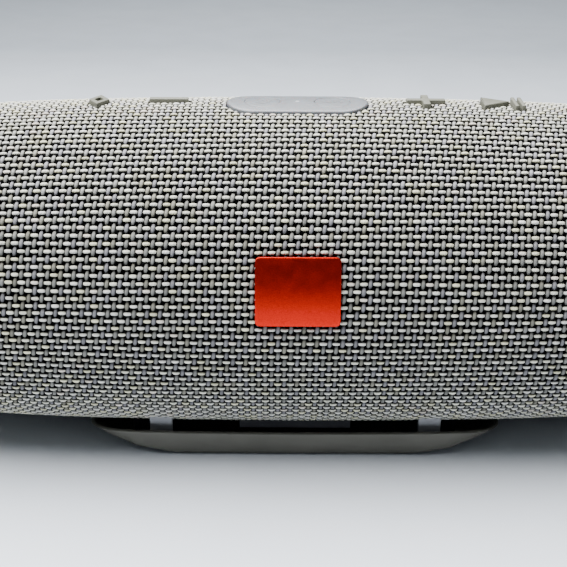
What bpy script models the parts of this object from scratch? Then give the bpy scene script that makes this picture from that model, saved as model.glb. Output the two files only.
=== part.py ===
"""Portable bluetooth speaker, modelled as the separate solids that it comes apart into.

Frame: +Z up, the barrel lies along X and its badge faces -Y. The origin is on the surface that the foot
stands on, under the middle of the barrel. Lengths below are in millimetres; the shape builders turn them
into metres.
"""

import math

import bmesh
import bpy
from mathutils import Matrix, Vector

MM = 0.001

# Barrel: fabric outside, perforated core under it, sealed enclosure inside.
AXIS_HEIGHT = 45.0
BARREL_RADIUS = 43.5
BARREL_CROWN = 2.4  # loss of radius towards the ends, as a parabola
BARREL_SHOULDER = 1.9  # further loss close to the ends
SHOULDER_STATION = 99.0
FABRIC_THICKNESS = 1.3
FABRIC_HALF_LENGTH = 98.6
CORE_OUTSIDE = 1.6  # depth of each layer's surfaces below the fabric's outside
CORE_INSIDE = 3.1
ENCLOSURE_OUTSIDE = 3.6
ENCLOSURE_INSIDE = 5.8
ENCLOSURE_HALF_LENGTH = 92.0
GAP = 0.3  # between parts that would touch
BARREL_STEPS = 40

# Front: the badge and both drivers look up a little.
FACE_TILT = 12.7
DRIVER_X = 48.0
BAFFLE_FRONT = 29.3
BAFFLE_BACK = 26.8
BAFFLE_HOLE_RADIUS = 22.6
BADGE_WIDTH = 20.2
BADGE_HEIGHT = 16.6
BADGE_OUTSIDE = 44.4
BADGE_INSIDE = 43.75
BADGE_PIN_X = 6.0
SPLIT_TILT = 25.0  # the plane that parts the two enclosure halves faces this far up

# Controls along the crown
PANEL_LENGTH = 36.1
PANEL_WIDTH = 14.6
PANEL_TOP = 43.85
PANEL_UNDERSIDE = 42.2
ROUND_KEY_RADIUS = 4.5
ROUND_KEY_FLANGE = 5.6
SYMBOL_PROUD = 0.8  # how far each symbol stands out of the fabric
SYMBOL_LINE = 2.0  # of the symbols, behind the crown
KEY_BASE_LOW = 37.4
KEY_BASE_HIGH = 38.7
KEY_BASE_SPAN = (-5.4, 7.0)  # front to back
KEY_X = {
    "pair_button": -51.0,
    "minus_button": -33.0,
    "power_button": -9.0,
    "link_button": 9.0,
    "plus_button": 33.0,
    "play_button": 53.2,
}
SYMBOL_CLEARANCE = 0.35
WELL_HALF_LENGTH = 61.0
WELL_HALF_WIDTH = 7.6
WELL_WALL = 1.9
WELL_LOW = 32.0

# Port bay at the back
BAY_LENGTH = 57.0
BAY_WIDTH = 16.0
BAY_FLOOR = 32.3
TRAY_LENGTH = 66.0
TRAY_WIDTH = 24.0
TRAY_BACK = 30.3
DOOR_LENGTH = 62.0
DOOR_WIDTH = 20.0
DOOR_BACK = 40.9
DOOR_HINGE_OUT = 42.3
USB_X, MICRO_X, AUX_X = 14.0, -21.0, -6.0
MICRO_DROP = 1.5

# Foot and the plinth that carries it
FOOT_RIM = (55.8, 29.2, 16.0)  # half length, half width, corner radius
FOOT_SOLE = (38.4, 26.0, 12.0)
FOOT_FLOOR = (46.0, 26.2, 8.0)
FOOT_FLOOR_HEIGHT = 1.5
FOOT_RIM_WALL = 1.3
FOOT_FRONT_GAP = 3.5  # extra gap under the barrel at the front and back of the rim
PLINTH_HALF_LENGTH = 44.0
PLINTH_HALF_WIDTH = 19.0
PLINTH_TOP_RADIUS = 40.2
PLINTH_SCREWS = (38.0, 11.0)
CLIP_X = 35.4
CLIP_Y = 24.9
CLIP_SIZE = (5.9, 1.5)
WINDOW_HALF_LENGTH = 15.0

# Ends: passive radiators inside rubber rings
RADIATOR_DISC_RADIUS = 24.8
END_STEPS = 40
SMALL_STEPS = 24


def barrel_radius(x):
    """Outer radius of the fabric at a distance x from the middle."""
    share = abs(x) / SHOULDER_STATION
    return BARREL_RADIUS - BARREL_CROWN * share**2 - BARREL_SHOULDER * share**8


# ---------------------------------------------------------------- scene helpers


def clear_scene():
    for obj in list(bpy.data.objects):
        bpy.data.objects.remove(obj)


def new_collection(name):
    collection = bpy.data.collections.new(name)
    bpy.context.scene.collection.children.link(collection)
    return collection


def material(name, colour, roughness=0.6, metallic=0.0):
    made = bpy.data.materials.new(name)
    made.use_nodes = True
    shader = made.node_tree.nodes["Principled BSDF"]
    shader.inputs["Base Color"].default_value = (*colour, 1.0)
    shader.inputs["Roughness"].default_value = roughness
    shader.inputs["Metallic"].default_value = metallic
    return made


def frame(name, location=(0, 0, AXIS_HEIGHT), rotation=(0, 0, 0)):
    """An empty that carries parts; rotation in degrees."""
    empty = bpy.data.objects.new(name, None)
    empty.location = Vector(location) * MM
    empty.rotation_euler = [math.radians(a) for a in rotation]
    PARTS.objects.link(empty)
    return empty


def add_object(name, mesh, parent, look, location=(0, 0, 0)):
    """A part when it has a look, and otherwise a hidden tool for a Boolean."""
    obj = bpy.data.objects.new(name, mesh)
    obj.parent = parent
    obj.location = Vector(location) * MM
    if look is None:
        TOOLS.objects.link(obj)
        obj.hide_render = True
        obj.display_type = "WIRE"
    else:
        PARTS.objects.link(obj)
        mesh.materials.append(look)
    return obj


def finish_mesh(bm, name):
    bmesh.ops.recalc_face_normals(bm, faces=bm.faces)
    bmesh.ops.scale(bm, vec=(MM, MM, MM), verts=bm.verts)
    mesh = bpy.data.meshes.new(name)
    bm.to_mesh(mesh)
    bm.free()
    return mesh


def boolean(obj, other, operation):
    modifier = obj.modifiers.new(f"{operation.lower()} {other.name}", "BOOLEAN")
    modifier.operation = operation
    modifier.object = other
    modifier.solver = "EXACT"


def cut(obj, *tools):
    for tool in tools:
        boolean(obj, tool, "DIFFERENCE")


def join(obj, *tools):
    for tool in tools:
        boolean(obj, tool, "UNION")


def keep_inside(obj, *tools):
    for tool in tools:
        boolean(obj, tool, "INTERSECT")


# ---------------------------------------------------------------- shape builders


def add_box(bm, low, high, corner=0.0, segments=3):
    """A box between two corners; its upright edges are rounded when corner is set."""
    low, high = Vector(low), Vector(high)
    size = high - low
    place = Matrix.Translation((low + high) / 2) @ Matrix.Diagonal((*size, 1))
    made = bmesh.ops.create_cube(bm, size=1.0, matrix=place)["verts"]
    if corner:
        upright = {
            edge
            for vert in made
            for edge in vert.link_edges
            if abs(edge.verts[0].co.z - edge.verts[1].co.z) > size.z / 2
        }
        bmesh.ops.bevel(
            bm, geom=list(upright), offset=corner, segments=segments, profile=0.5, affect="EDGES"
        )


def add_rod(bm, radius, low, high, x=0.0, y=0.0, steps=SMALL_STEPS):
    """A cylinder along Z."""
    place = Matrix.Translation((x, y, (low + high) / 2))
    bmesh.ops.create_cone(
        bm, cap_ends=True, segments=steps, radius1=radius, radius2=radius, depth=high - low, matrix=place
    )


def add_prism(bm, outline, low, high):
    """An outline in XY, raised from low to high."""
    face = bm.faces.new([bm.verts.new((x, y, low)) for x, y in outline])
    raised = bmesh.ops.extrude_face_region(bm, geom=[face])["geom"]
    tops = [item for item in raised if isinstance(item, bmesh.types.BMVert)]
    bmesh.ops.translate(bm, verts=tops, vec=(0, 0, high - low))


def box(name, low, high, parent, look=None, corner=0.0, segments=3):
    bm = bmesh.new()
    add_box(bm, low, high, corner, segments)
    return add_object(name, finish_mesh(bm, name), parent, look)


def boxes(name, corners, parent, look=None, corner=0.0):
    """Several separate boxes in one mesh, for a Boolean."""
    bm = bmesh.new()
    for low, high in corners:
        add_box(bm, low, high, corner)
    return add_object(name, finish_mesh(bm, name), parent, look)


def rods(name, places, radius, low, high, parent, look=None, steps=SMALL_STEPS):
    """Cylinders along Z at these places, in one mesh."""
    bm = bmesh.new()
    for x, y in places:
        add_rod(bm, radius, low, high, x, y, steps)
    return add_object(name, finish_mesh(bm, name), parent, look)


def prisms(name, outlines, low, high, parent, look=None):
    bm = bmesh.new()
    for outline in outlines:
        add_prism(bm, outline, low, high)
    return add_object(name, finish_mesh(bm, name), parent, look)


def barrel_cylinder(name, radius, parent, steps=180):
    """A long cylinder round the barrel's own axis, which trims what lies on the barrel."""
    bm = bmesh.new()
    along_x = Matrix.Rotation(math.radians(90), 4, "Y")
    bmesh.ops.create_cone(
        bm, cap_ends=True, segments=steps, radius1=radius, radius2=radius, depth=240, matrix=along_x
    )
    return add_object(name, finish_mesh(bm, name), parent, None)


def turned(name, profile, parent, look=None, steps=END_STEPS, location=(0, 0, 0)):
    """A profile of (radius, height) points turned round the parent's Z. It runs down its outer side.
    A profile that ends on the axis stays open there; any other is closed into a ring."""
    touches_axis = profile[0][0] == 0
    mesh = bpy.data.meshes.new(name)
    count = len(profile)
    edges = [(i, (i + 1) % count) for i in range(count - touches_axis)]
    mesh.from_pydata([(r * MM, 0, h * MM) for r, h in profile], edges, [])
    obj = add_object(name, mesh, parent, look, location)
    screw = obj.modifiers.new("turn", "SCREW")
    screw.axis = "Z"
    screw.steps = screw.render_steps = steps
    screw.use_merge_vertices = True
    screw.merge_threshold = 0.00001
    screw.use_smooth_shade = True
    return obj


def barrel_layer(outside, inside, half_length, stations):
    """Closed profile of a barrel shell between two depths below the fabric's outside."""
    inner_stations = [x for x in stations if x < half_length]
    spots = [half_length, *reversed(inner_stations)]
    spots += [-x for x in reversed(spots) if x != 0]
    outer = [(barrel_radius(x) - outside, x) for x in spots]
    inner = [(barrel_radius(x) - inside, x) for x in reversed(spots)]
    return outer + inner


# ---------------------------------------------------------------- key symbols


def grown_outline(outline, clearance):
    """An outline, anticlockwise, with each side moved outwards by the clearance."""
    grown = []
    count = len(outline)
    for i in range(count):
        before, here, after = (Vector(outline[(i + k) % count]) for k in (-1, 0, 1))
        side_in, side_out = (here - before).normalized(), (after - here).normalized()
        normal_in = Vector((side_in.y, -side_in.x))
        normal_out = Vector((side_out.y, -side_out.x))
        reach = clearance / (1 + normal_in.dot(normal_out))
        grown.append(tuple(here + (normal_in + normal_out) * reach))
    return grown


def bar_outline(x, half_width, half_length):
    low, high = x - half_width, x + half_width
    return [(low, -half_length), (high, -half_length), (high, half_length), (low, half_length)]


def plus_outline(reach, across, half):
    return [
        (half, -across), (half, -half), (reach, -half), (reach, half),
        (half, half), (half, across), (-half, across), (-half, half),
        (-reach, half), (-reach, -half), (-half, -half), (-half, -across),
    ]  # fmt: skip


SYMBOL_REACH = 5.0
PLUS_ACROSS = 4.4
BAR_HALF = 0.95
PLAY_BACK, PLAY_TIP = -5.5, 1.5
PLAY_BARS = (2.8, 4.5)
PLAY_BAR_HALF = 0.5
PLAY_HALF = 4.1
PLAY_TRIANGLE = [(PLAY_BACK, -PLAY_HALF), (PLAY_TIP, 0), (PLAY_BACK, PLAY_HALF)]
RHOMBUS_HALF = (2.7, 4.3)
RHOMBUS = [
    (RHOMBUS_HALF[0], 0), (0, RHOMBUS_HALF[1]), (-RHOMBUS_HALF[0], 0), (0, -RHOMBUS_HALF[1])
]  # fmt: skip

SYMBOLS = {
    "pair_button": [RHOMBUS],
    "minus_button": [bar_outline(0, SYMBOL_REACH, BAR_HALF)],
    "plus_button": [plus_outline(SYMBOL_REACH, PLUS_ACROSS, BAR_HALF)],
    "play_button": [PLAY_TRIANGLE, *(bar_outline(x, PLAY_BAR_HALF, PLAY_HALF) for x in PLAY_BARS)],
}
# One opening round the play triangle and its two bars, as their clearances meet.
BARS_START = PLAY_BARS[0] - PLAY_BAR_HALF
BARS_END = PLAY_BARS[1] + PLAY_BAR_HALF
PLAY_OPENING = [
    (PLAY_BACK, -PLAY_HALF), (BARS_START, -0.5), (BARS_START, -PLAY_HALF), (BARS_END, -PLAY_HALF),
    (BARS_END, PLAY_HALF), (BARS_START, PLAY_HALF), (BARS_START, 0.5), (PLAY_BACK, PLAY_HALF),
]  # fmt: skip


def key_openings():
    """The symbols' outlines with their clearance, where they stand on the barrel."""
    openings = []
    for name, outlines in SYMBOLS.items():
        shapes = [PLAY_OPENING] if name == "play_button" else outlines
        for shape in shapes:
            grown = grown_outline(shape, SYMBOL_CLEARANCE)
            openings.append([(x + KEY_X[name], y + SYMBOL_LINE) for x, y in grown])
    return openings


# ---------------------------------------------------------------- materials and frames

clear_scene()
PARTS = new_collection("portable_speaker")
TOOLS = new_collection("cutters")

FABRIC = material("woven fabric", (0.62, 0.62, 0.57), 0.8)
RUBBER = material("grey rubber", (0.42, 0.43, 0.39), 0.7)
FOOT_RUBBER = material("foot rubber", (0.33, 0.33, 0.29), 0.7)
BLACK = material("black plastic", (0.02, 0.02, 0.022), 0.6)
PANEL = material("panel rubber", (0.6, 0.62, 0.64), 0.55)
BADGE_RED = material("red badge", (0.72, 0.05, 0.02), 0.35, 0.4)
CLIP_PLASTIC = material("clip plastic", (0.62, 0.62, 0.66), 0.5)
SMOKED = material("smoked window", (0.03, 0.035, 0.045), 0.15)
ALUMINIUM = material("aluminium", (0.6, 0.6, 0.62), 0.35, 1.0)
STEEL = material("steel", (0.55, 0.55, 0.56), 0.35, 1.0)
FERRITE = material("ferrite", (0.06, 0.06, 0.065), 0.5, 0.3)
PAPER_CONE = material("cone", (0.05, 0.05, 0.05), 0.75)
BOARD_GREEN = material("circuit board", (0.02, 0.16, 0.06), 0.45)
BATTERY_BLUE = material("battery wrap", (0.08, 0.2, 0.42), 0.4)
LEAD_RED = material("lead sleeve", (0.35, 0.03, 0.03), 0.5)

AXIS = frame("barrel_axis")
TURN = frame("barrel_turn", rotation=(0, 90, 0))
FACE = frame("face", rotation=(90 - FACE_TILT, 0, 0))
SPLIT = frame("split", rotation=(90 - SPLIT_TILT, 0, 0))
PORT = frame("port", rotation=(90, 0, 180))
ENDS = {
    "right": frame("right_end", rotation=(0, 90, 0)),
    "left": frame("left_end", rotation=(0, -90, 0)),
}
GROUND = frame("ground", location=(0, 0, 0))


# ---------------------------------------------------------------- shared cutters

LONG = 120.0  # reaches past the barrel on every side

key_holes = prisms("key_openings", key_openings(), 36, 50, AXIS)
panel_hole = box(
    "panel_opening",
    (-PANEL_LENGTH / 2 - 0.4, -PANEL_WIDTH / 2 - 0.4, 36),
    (PANEL_LENGTH / 2 + 0.4, PANEL_WIDTH / 2 + 0.4, 50),
    AXIS, corner=PANEL_WIDTH / 2 + 0.35, segments=6,
)  # fmt: skip
round_key_places = [(KEY_X["power_button"], 0), (KEY_X["link_button"], 0)]
round_key_holes = rods("round_key_openings", round_key_places, ROUND_KEY_RADIUS + GAP, 36, 50, AXIS)
tray_hole = box(
    "tray_opening",
    (-TRAY_LENGTH / 2 - 0.4, -TRAY_WIDTH / 2 - 0.4, 20),
    (TRAY_LENGTH / 2 + 0.4, TRAY_WIDTH / 2 + 0.4, 50),
    PORT, corner=4.4,
)  # fmt: skip
plinth_hole = box(
    "plinth_opening",
    (-PLINTH_HALF_LENGTH - 1, -PLINTH_HALF_WIDTH - 1, -60),
    (PLINTH_HALF_LENGTH + 1, PLINTH_HALF_WIDTH + 1, -20),
    AXIS, corner=4.0,
)  # fmt: skip
clip_holes = boxes(
    "clip_openings",
    [
        (
            (sx * CLIP_X - CLIP_SIZE[0] / 2 - GAP, sy * CLIP_Y - CLIP_SIZE[1] / 2 - GAP, -60),
            (sx * CLIP_X + CLIP_SIZE[0] / 2 + GAP, sy * CLIP_Y + CLIP_SIZE[1] / 2 + GAP, -20),
        )
        for sx in (-1, 1)
        for sy in (-1, 1)
    ],
    AXIS,
)
badge_pin_holes = rods(
    "badge_pin_openings", [(-BADGE_PIN_X, 0), (BADGE_PIN_X, 0)], 1.3, 36, 50, FACE, steps=10
)


# ---------------------------------------------------------------- barrel


def make_fabric_cover():
    profile = barrel_layer(0, FABRIC_THICKNESS, FABRIC_HALF_LENGTH, (0, 30, 56, 76, 90))
    cover = turned("fabric_cover", profile, TURN, FABRIC, BARREL_STEPS)
    cut(cover, key_holes, panel_hole, tray_hole, plinth_hole, clip_holes, badge_pin_holes)


def make_grille_core():
    """Perforated tube under the fabric, with sound slots in front of each driver."""
    profile = barrel_layer(CORE_OUTSIDE, CORE_INSIDE, FABRIC_HALF_LENGTH, (0, 36, 64, 84))
    core = turned("grille_core", profile, TURN, BLACK, BARREL_STEPS)
    slot_length, slot_width, slot_pitch = 34.0, 3.0, 6.0
    slots = boxes(
        "sound_slots",
        [
            (
                (side * DRIVER_X - slot_length / 2, row * slot_pitch - slot_width / 2, 30),
                (side * DRIVER_X + slot_length / 2, row * slot_pitch + slot_width / 2, 50),
            )
            for side in (-1, 1)
            for row in (-2, -1, 0, 1, 2)
        ],
        FACE,
    )
    cut(core, key_holes, round_key_holes, tray_hole, plinth_hole, clip_holes, badge_pin_holes, slots)


def enclosure_blank(name):
    profile = barrel_layer(ENCLOSURE_OUTSIDE, ENCLOSURE_INSIDE, ENCLOSURE_HALF_LENGTH, (0, 45, 75))
    return turned(name, profile, TURN, BLACK, BARREL_STEPS)


def make_enclosure_front():
    """Front half, with the sunk baffle that the drivers sit on and the well under the keys."""
    shell = enclosure_blank("enclosure_front")
    envelope_profile = [
        (0, ENCLOSURE_HALF_LENGTH + 1),
        *(
            (barrel_radius(x) - ENCLOSURE_OUTSIDE, x)
            for x in (ENCLOSURE_HALF_LENGTH + 1, 75, 45, 0, -45, -75, -ENCLOSURE_HALF_LENGTH - 1)
        ),
        (0, -ENCLOSURE_HALF_LENGTH - 1),
    ]
    envelope = turned("enclosure_envelope", envelope_profile, TURN, None, BARREL_STEPS)
    baffle = box("baffle_block", (-75, -27, BAFFLE_BACK), (75, 27, 41), FACE)
    window = box("baffle_window", (-73, -32, BAFFLE_FRONT), (73, 32, 60), FACE)
    holes = rods(
        "driver_openings", [(-DRIVER_X, 0), (DRIVER_X, 0)], BAFFLE_HOLE_RADIUS, 20, 35, FACE, steps=32
    )
    well_outer = box(
        "well_block",
        (-WELL_HALF_LENGTH - WELL_WALL, -WELL_HALF_WIDTH - WELL_WALL, WELL_LOW),
        (WELL_HALF_LENGTH + WELL_WALL, WELL_HALF_WIDTH + WELL_WALL, 39),
        AXIS,
    )
    well_inner = box(
        "well_opening",
        (-WELL_HALF_LENGTH, -WELL_HALF_WIDTH, 25),
        (WELL_HALF_LENGTH, WELL_HALF_WIDTH, 50),
        AXIS,
    )
    front_side = box("front_side", (-LONG, -LONG, GAP / 2), (LONG, LONG, LONG), SPLIT)
    join(shell, baffle, well_outer)
    cut(shell, window, holes, well_inner)
    keep_inside(shell, envelope, front_side)


def make_enclosure_rear():
    """Rear half, open for the port tray, with bosses for the plinth's screws."""
    shell = enclosure_blank("enclosure_rear")
    rear_side = box("rear_side", (-LONG, -LONG, -LONG), (LONG, LONG, -GAP / 2), SPLIT)
    screw_x, screw_y = PLINTH_SCREWS
    places = [(sx * screw_x, sy * screw_y) for sx in (-1, 1) for sy in (-1, 1)]
    bosses = rods("boss_rods", places, 2.8, 8.6, 13.0, GROUND, steps=12)
    pilots = rods("boss_pilots", places, 1.4, 2.0, 20.0, GROUND, steps=10)
    keep_inside(shell, rear_side)
    join(shell, bosses)
    cut(shell, pilots, tray_hole)


# ---------------------------------------------------------------- drivers and radiators


def make_driver(side, x):
    """A 50 mm driver, turned round the direction that the front faces."""
    place = (x, 0, 0)
    basket = [
        (24.2, 30.8), (24.2, 29.6), (21.9, 29.6), (20.2, 22.5), (16.5, 16.4), (9.0, 16.4),
        (9.0, 17.6), (15.6, 17.6), (19.0, 23.0), (20.6, 30.8),
    ]  # fmt: skip
    motor = [
        (0, 16.1), (7.2, 16.1), (7.2, 8.0), (9.0, 8.0), (9.0, 16.1), (16.0, 16.1), (16.0, 5.0), (0, 5.0)
    ]  # fmt: skip
    cone = [
        (0, 26.6), (4.5, 25.9), (8.4, 24.2), (18.2, 30.4), (18.2, 29.6), (8.6, 22.6),
        (8.6, 10.5), (8.0, 10.5), (8.0, 23.2), (4.2, 25.0), (0, 25.7),
    ]  # fmt: skip
    surround = [
        (23.4, 31.4), (23.4, 30.9), (21.2, 30.9), (20.7, 32.0), (19.7, 32.5), (18.8, 32.0),
        (18.4, 30.7), (17.2, 30.7), (17.2, 31.2), (17.9, 31.2), (18.3, 32.4), (19.7, 33.2),
        (21.1, 32.4), (21.5, 31.4),
    ]  # fmt: skip
    turned(f"driver_basket_{side}", basket, FACE, BLACK, SMALL_STEPS, place)
    turned(f"driver_magnet_{side}", motor, FACE, FERRITE, SMALL_STEPS, place)
    turned(f"driver_cone_{side}", cone, FACE, PAPER_CONE, SMALL_STEPS, place)
    turned(f"driver_surround_{side}", surround, FACE, RUBBER, SMALL_STEPS, place)


def make_end(side):
    """Passive radiator and the rubber ring round it. Heights run outwards from the barrel's middle."""
    end = ENDS[side]
    ring = [
        (34.2, 106.5), (35.8, 106.0), (37.8, 104.2), (39.0, 101.6), (39.4, 98.9), (35.8, 98.9),
        (35.8, 96.1), (31.2, 96.1), (31.2, 104.8), (32.4, 106.3),
    ]  # fmt: skip
    holder = [(36.4, 95.8), (36.4, 92.3), (29.6, 92.3), (29.6, 95.8)]
    surround = [
        (31.0, 97.0), (31.0, 96.3), (28.6, 96.3), (28.1, 97.8), (27.2, 98.6), (26.3, 97.8),
        (25.8, 96.3), (22.8, 96.3), (22.8, 97.1), (25.0, 97.1), (25.5, 98.6), (27.2, 99.5),
        (28.9, 98.6), (29.4, 97.0),
    ]  # fmt: skip
    disc = [
        (0, 98.0), (20.6, 97.6), (21.8, 96.9), (22.2, 96.0), (RADIATOR_DISC_RADIUS, 96.0),
        (RADIATOR_DISC_RADIUS, 94.0), (0, 94.0),
    ]  # fmt: skip
    turned(f"end_ring_{side}", ring, end, RUBBER)
    turned(f"radiator_frame_{side}", holder, end, BLACK)
    turned(f"radiator_surround_{side}", surround, end, RUBBER, 32)
    turned(f"radiator_disc_{side}", disc, end, ALUMINIUM)


# ---------------------------------------------------------------- badge and controls


def make_badge():
    """Curved plate on the fabric, held by two pins that reach into the core."""
    badge = box(
        "badge", (-BADGE_WIDTH / 2, -BADGE_HEIGHT / 2, 42), (BADGE_WIDTH / 2, BADGE_HEIGHT / 2, 47),
        FACE, BADGE_RED, corner=1.0,
    )  # fmt: skip
    keep_inside(badge, barrel_cylinder("badge_outside", BADGE_OUTSIDE, AXIS))
    cut(badge, barrel_cylinder("badge_inside", BADGE_INSIDE, AXIS))
    pins = [(-BADGE_PIN_X, 0), (BADGE_PIN_X, 0)]
    join(badge, rods("badge_pins", pins, 1.0, 40.7, 44.2, FACE, steps=10))


def make_control_panel():
    half_length, half_width = PANEL_LENGTH / 2, PANEL_WIDTH / 2
    panel = box(
        "control_panel", (-half_length, -half_width, PANEL_UNDERSIDE), (half_length, half_width, 46),
        AXIS, PANEL, corner=half_width - 0.05, segments=8,
    )  # fmt: skip
    keep_inside(panel, barrel_cylinder("panel_outside", PANEL_TOP, AXIS))
    cut(panel, round_key_holes)


def make_round_key(name):
    """A key inside the panel, flush with it."""
    profile = [
        (0, 46), (ROUND_KEY_RADIUS, 46), (ROUND_KEY_RADIUS, KEY_BASE_HIGH),
        (ROUND_KEY_FLANGE, KEY_BASE_HIGH), (ROUND_KEY_FLANGE, KEY_BASE_LOW), (0, KEY_BASE_LOW),
    ]  # fmt: skip
    stem = turned(name, profile, AXIS, PANEL, SMALL_STEPS, (KEY_X[name], 0, 0))
    keep_inside(stem, barrel_cylinder(f"{name}_outside", PANEL_TOP - 0.05, AXIS))


def make_symbol_key(name):
    """A key whose symbol stands through an opening of its own shape in the fabric."""
    half_length = 6.8 if name == "play_button" else 6.0
    x = KEY_X[name]
    front, back = KEY_BASE_SPAN
    low, high = (x - half_length, front, KEY_BASE_LOW), (x + half_length, back, KEY_BASE_HIGH)
    key = box(name, low, high, AXIS, RUBBER)
    top = barrel_radius(x) + SYMBOL_PROUD
    shifted = [[(px + x, py + SYMBOL_LINE) for px, py in outline] for outline in SYMBOLS[name]]
    join(key, prisms(f"{name}_symbol", shifted, KEY_BASE_LOW + 0.5, top, AXIS))
    if name == "pair_button":
        sunk = [(px * 0.45 + x, py * 0.45 + SYMBOL_LINE) for px, py in RHOMBUS]
        cut(key, prisms("pair_symbol_hollow", [sunk], top - 0.8, top + 1, AXIS))


def make_button_board():
    board_top = WELL_LOW - GAP
    half_length, half_width = WELL_HALF_LENGTH + 1.0, WELL_HALF_WIDTH + 1.4
    box(
        "button_board", (-half_length, -half_width, board_top - 1), (half_length, half_width, board_top),
        AXIS, BOARD_GREEN,
    )  # fmt: skip
    for name, x in KEY_X.items():
        switch = box(
            name.replace("button", "switch"), (x - 3, -3, board_top + 0.1), (x + 3, 3, 35.9), AXIS, BLACK
        )
        join(switch, rods(f"{switch.name}_plunger", [(x, 0)], 1.75, 35.5, 36.5, AXIS, steps=12))


# ---------------------------------------------------------------- port bay


def make_port_tray():
    tray = box(
        "port_tray", (-TRAY_LENGTH / 2, -TRAY_WIDTH / 2, TRAY_BACK), (TRAY_LENGTH / 2, TRAY_WIDTH / 2, 47),
        PORT, RUBBER, corner=4.0,
    )  # fmt: skip
    keep_inside(tray, barrel_cylinder("tray_outside", BARREL_RADIUS, AXIS))
    rebate = box(
        "door_rebate",
        (-DOOR_LENGTH / 2 - GAP, -DOOR_WIDTH / 2 - GAP, DOOR_BACK - GAP),
        (DOOR_LENGTH / 2 + GAP, DOOR_WIDTH / 2 + GAP, 50),
        PORT, corner=3.0,
    )  # fmt: skip
    bay = box(
        "bay_hollow", (-BAY_LENGTH / 2, -BAY_WIDTH / 2, BAY_FLOOR), (BAY_LENGTH / 2, BAY_WIDTH / 2, 45),
        PORT, corner=2.5,
    )  # fmt: skip
    socket_slots = boxes(
        "socket_slots",
        [((USB_X - 6.9, -3.2, 25), (USB_X + 6.9, 3.2, 35)),
         ((MICRO_X - 4.1, -1.8 - MICRO_DROP, 25), (MICRO_X + 4.1, 1.8 - MICRO_DROP, 35))],
        PORT,
    )  # fmt: skip
    aux_hole = rods("aux_opening", [(AUX_X, 0)], 3.4, 25, 35, PORT)
    cut(tray, rebate, bay, socket_slots, aux_hole)


def make_port_door():
    """Flap hinged along its lower outer edge, with a sealing lip inside and a pull tab outside."""
    door = box(
        "port_door", (-DOOR_LENGTH / 2, -DOOR_WIDTH / 2, DOOR_BACK), (DOOR_LENGTH / 2, DOOR_WIDTH / 2, 47),
        PORT, RUBBER, corner=2.7,
    )  # fmt: skip
    keep_inside(door, barrel_cylinder("door_outside", BARREL_RADIUS - 0.1, AXIS))
    lip = box(
        "door_lip", (-27.8, -7.5, DOOR_BACK - 2), (27.8, 7.5, DOOR_BACK + 0.6), PORT, corner=2.0
    )
    lip_hollow = box(
        "door_lip_hollow", (-26.4, -6.1, DOOR_BACK - 5), (26.4, 6.1, DOOR_BACK), PORT, corner=1.2
    )
    tab = box("door_tab", (-8, 6.4, 41.6), (8, 8.6, 44.65), PORT, corner=0.8)
    join(door, lip)
    cut(door, lip_hollow)
    join(door, tab)
    set_origin(door, (0, -DOOR_WIDTH / 2, DOOR_HINGE_OUT))


def set_origin(obj, point):
    """Moves an object's origin to a point of its parent's frame and leaves its shape in place."""
    point = Vector(point) * MM
    obj.data.transform(Matrix.Translation(-point))
    obj.location = point


def make_socket(name, x, drop, outer, inner, depth, tongue):
    """A plug socket: a shell with a blind mouth facing out and a contact tongue inside it."""
    front, wall = BAY_FLOOR - 0.1, 1.2
    (ow, oh), (iw, ih), (tw, th) = outer, inner, tongue
    socket = box(
        name, (x - ow / 2, -drop - oh / 2, front - depth), (x + ow / 2, -drop + oh / 2, front), PORT, STEEL
    )
    mouth = box(
        f"{name}_mouth", (x - iw / 2, -drop - ih / 2, front - depth + wall),
        (x + iw / 2, -drop + ih / 2, front + 1), PORT,
    )  # fmt: skip
    contact = box(
        f"{name}_tongue", (x - tw / 2, -drop - th / 2, front - depth + wall / 2),
        (x + tw / 2, -drop + th / 2, front - 1.5), PORT,
    )  # fmt: skip
    cut(socket, mouth)
    join(socket, contact)


def make_sockets():
    make_socket("usb_a_socket", USB_X, 0, (13.2, 5.8), (12.4, 5.0), 14.0, (11.0, 1.8))
    make_socket("micro_usb_socket", MICRO_X, MICRO_DROP, (7.6, 3.0), (6.8, 2.2), 5.6, (3.8, 0.6))
    front = BAY_FLOOR - 0.1
    jack = box("aux_jack", (AUX_X - 3.2, -2.9, front - 14), (AUX_X + 3.2, 3.2, front - 3.2), PORT, BLACK)
    join(jack, rods("aux_nose", [(AUX_X, 0)], 3.0, front - 4, front, PORT))
    cut(jack, rods("aux_bore", [(AUX_X, 0)], 1.8, front - 12, front + 1, PORT, steps=16))
    box("port_board", (-27, -4.7, 12), (27, -3.1, 30), PORT, BOARD_GREEN)


# ---------------------------------------------------------------- inside the enclosure


def make_electronics():
    box("main_board", (-45, 3, 16), (45, 29, 17.6), AXIS, BOARD_GREEN)
    box("board_shield", (-16, 7, 17.7), (16, 25, 20.7), AXIS, STEEL, corner=1.5)
    box("battery_pack", (-51, -14.5, -31.5), (51, 14.5, -21.5), AXIS, BATTERY_BLUE, corner=3.0)
    bracket = box("battery_bracket", (-53, -16.3, -27.8), (53, 16.3, -19.8), AXIS, BLACK, corner=4.0)
    cut(
        bracket,
        box("bracket_hollow", (-51.4, -14.9, -35), (51.4, 14.9, -21.2), AXIS, corner=3.2),
        boxes("bracket_windows", [((-40, -9, -25), (-6, 9, -15)), ((6, -9, -25), (40, 9, -15))], AXIS),
    )


def smooth_route(points, per_span=4):
    """Points along a Catmull-Rom curve through the route's own points."""
    ends = [points[0], *points, points[-1]]
    spots = [Vector(p) for p in ends]
    route = []
    for i in range(1, len(spots) - 2):
        a, b, c, d = spots[i - 1 : i + 3]
        for step in range(per_span):
            t = step / per_span
            square, cube = 2 * a - 5 * b + 4 * c - d, 3 * b - a - 3 * c + d
            route.append(0.5 * (2 * b + (c - a) * t + square * t**2 + cube * t**3))
    route.append(spots[-1])
    return route


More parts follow.
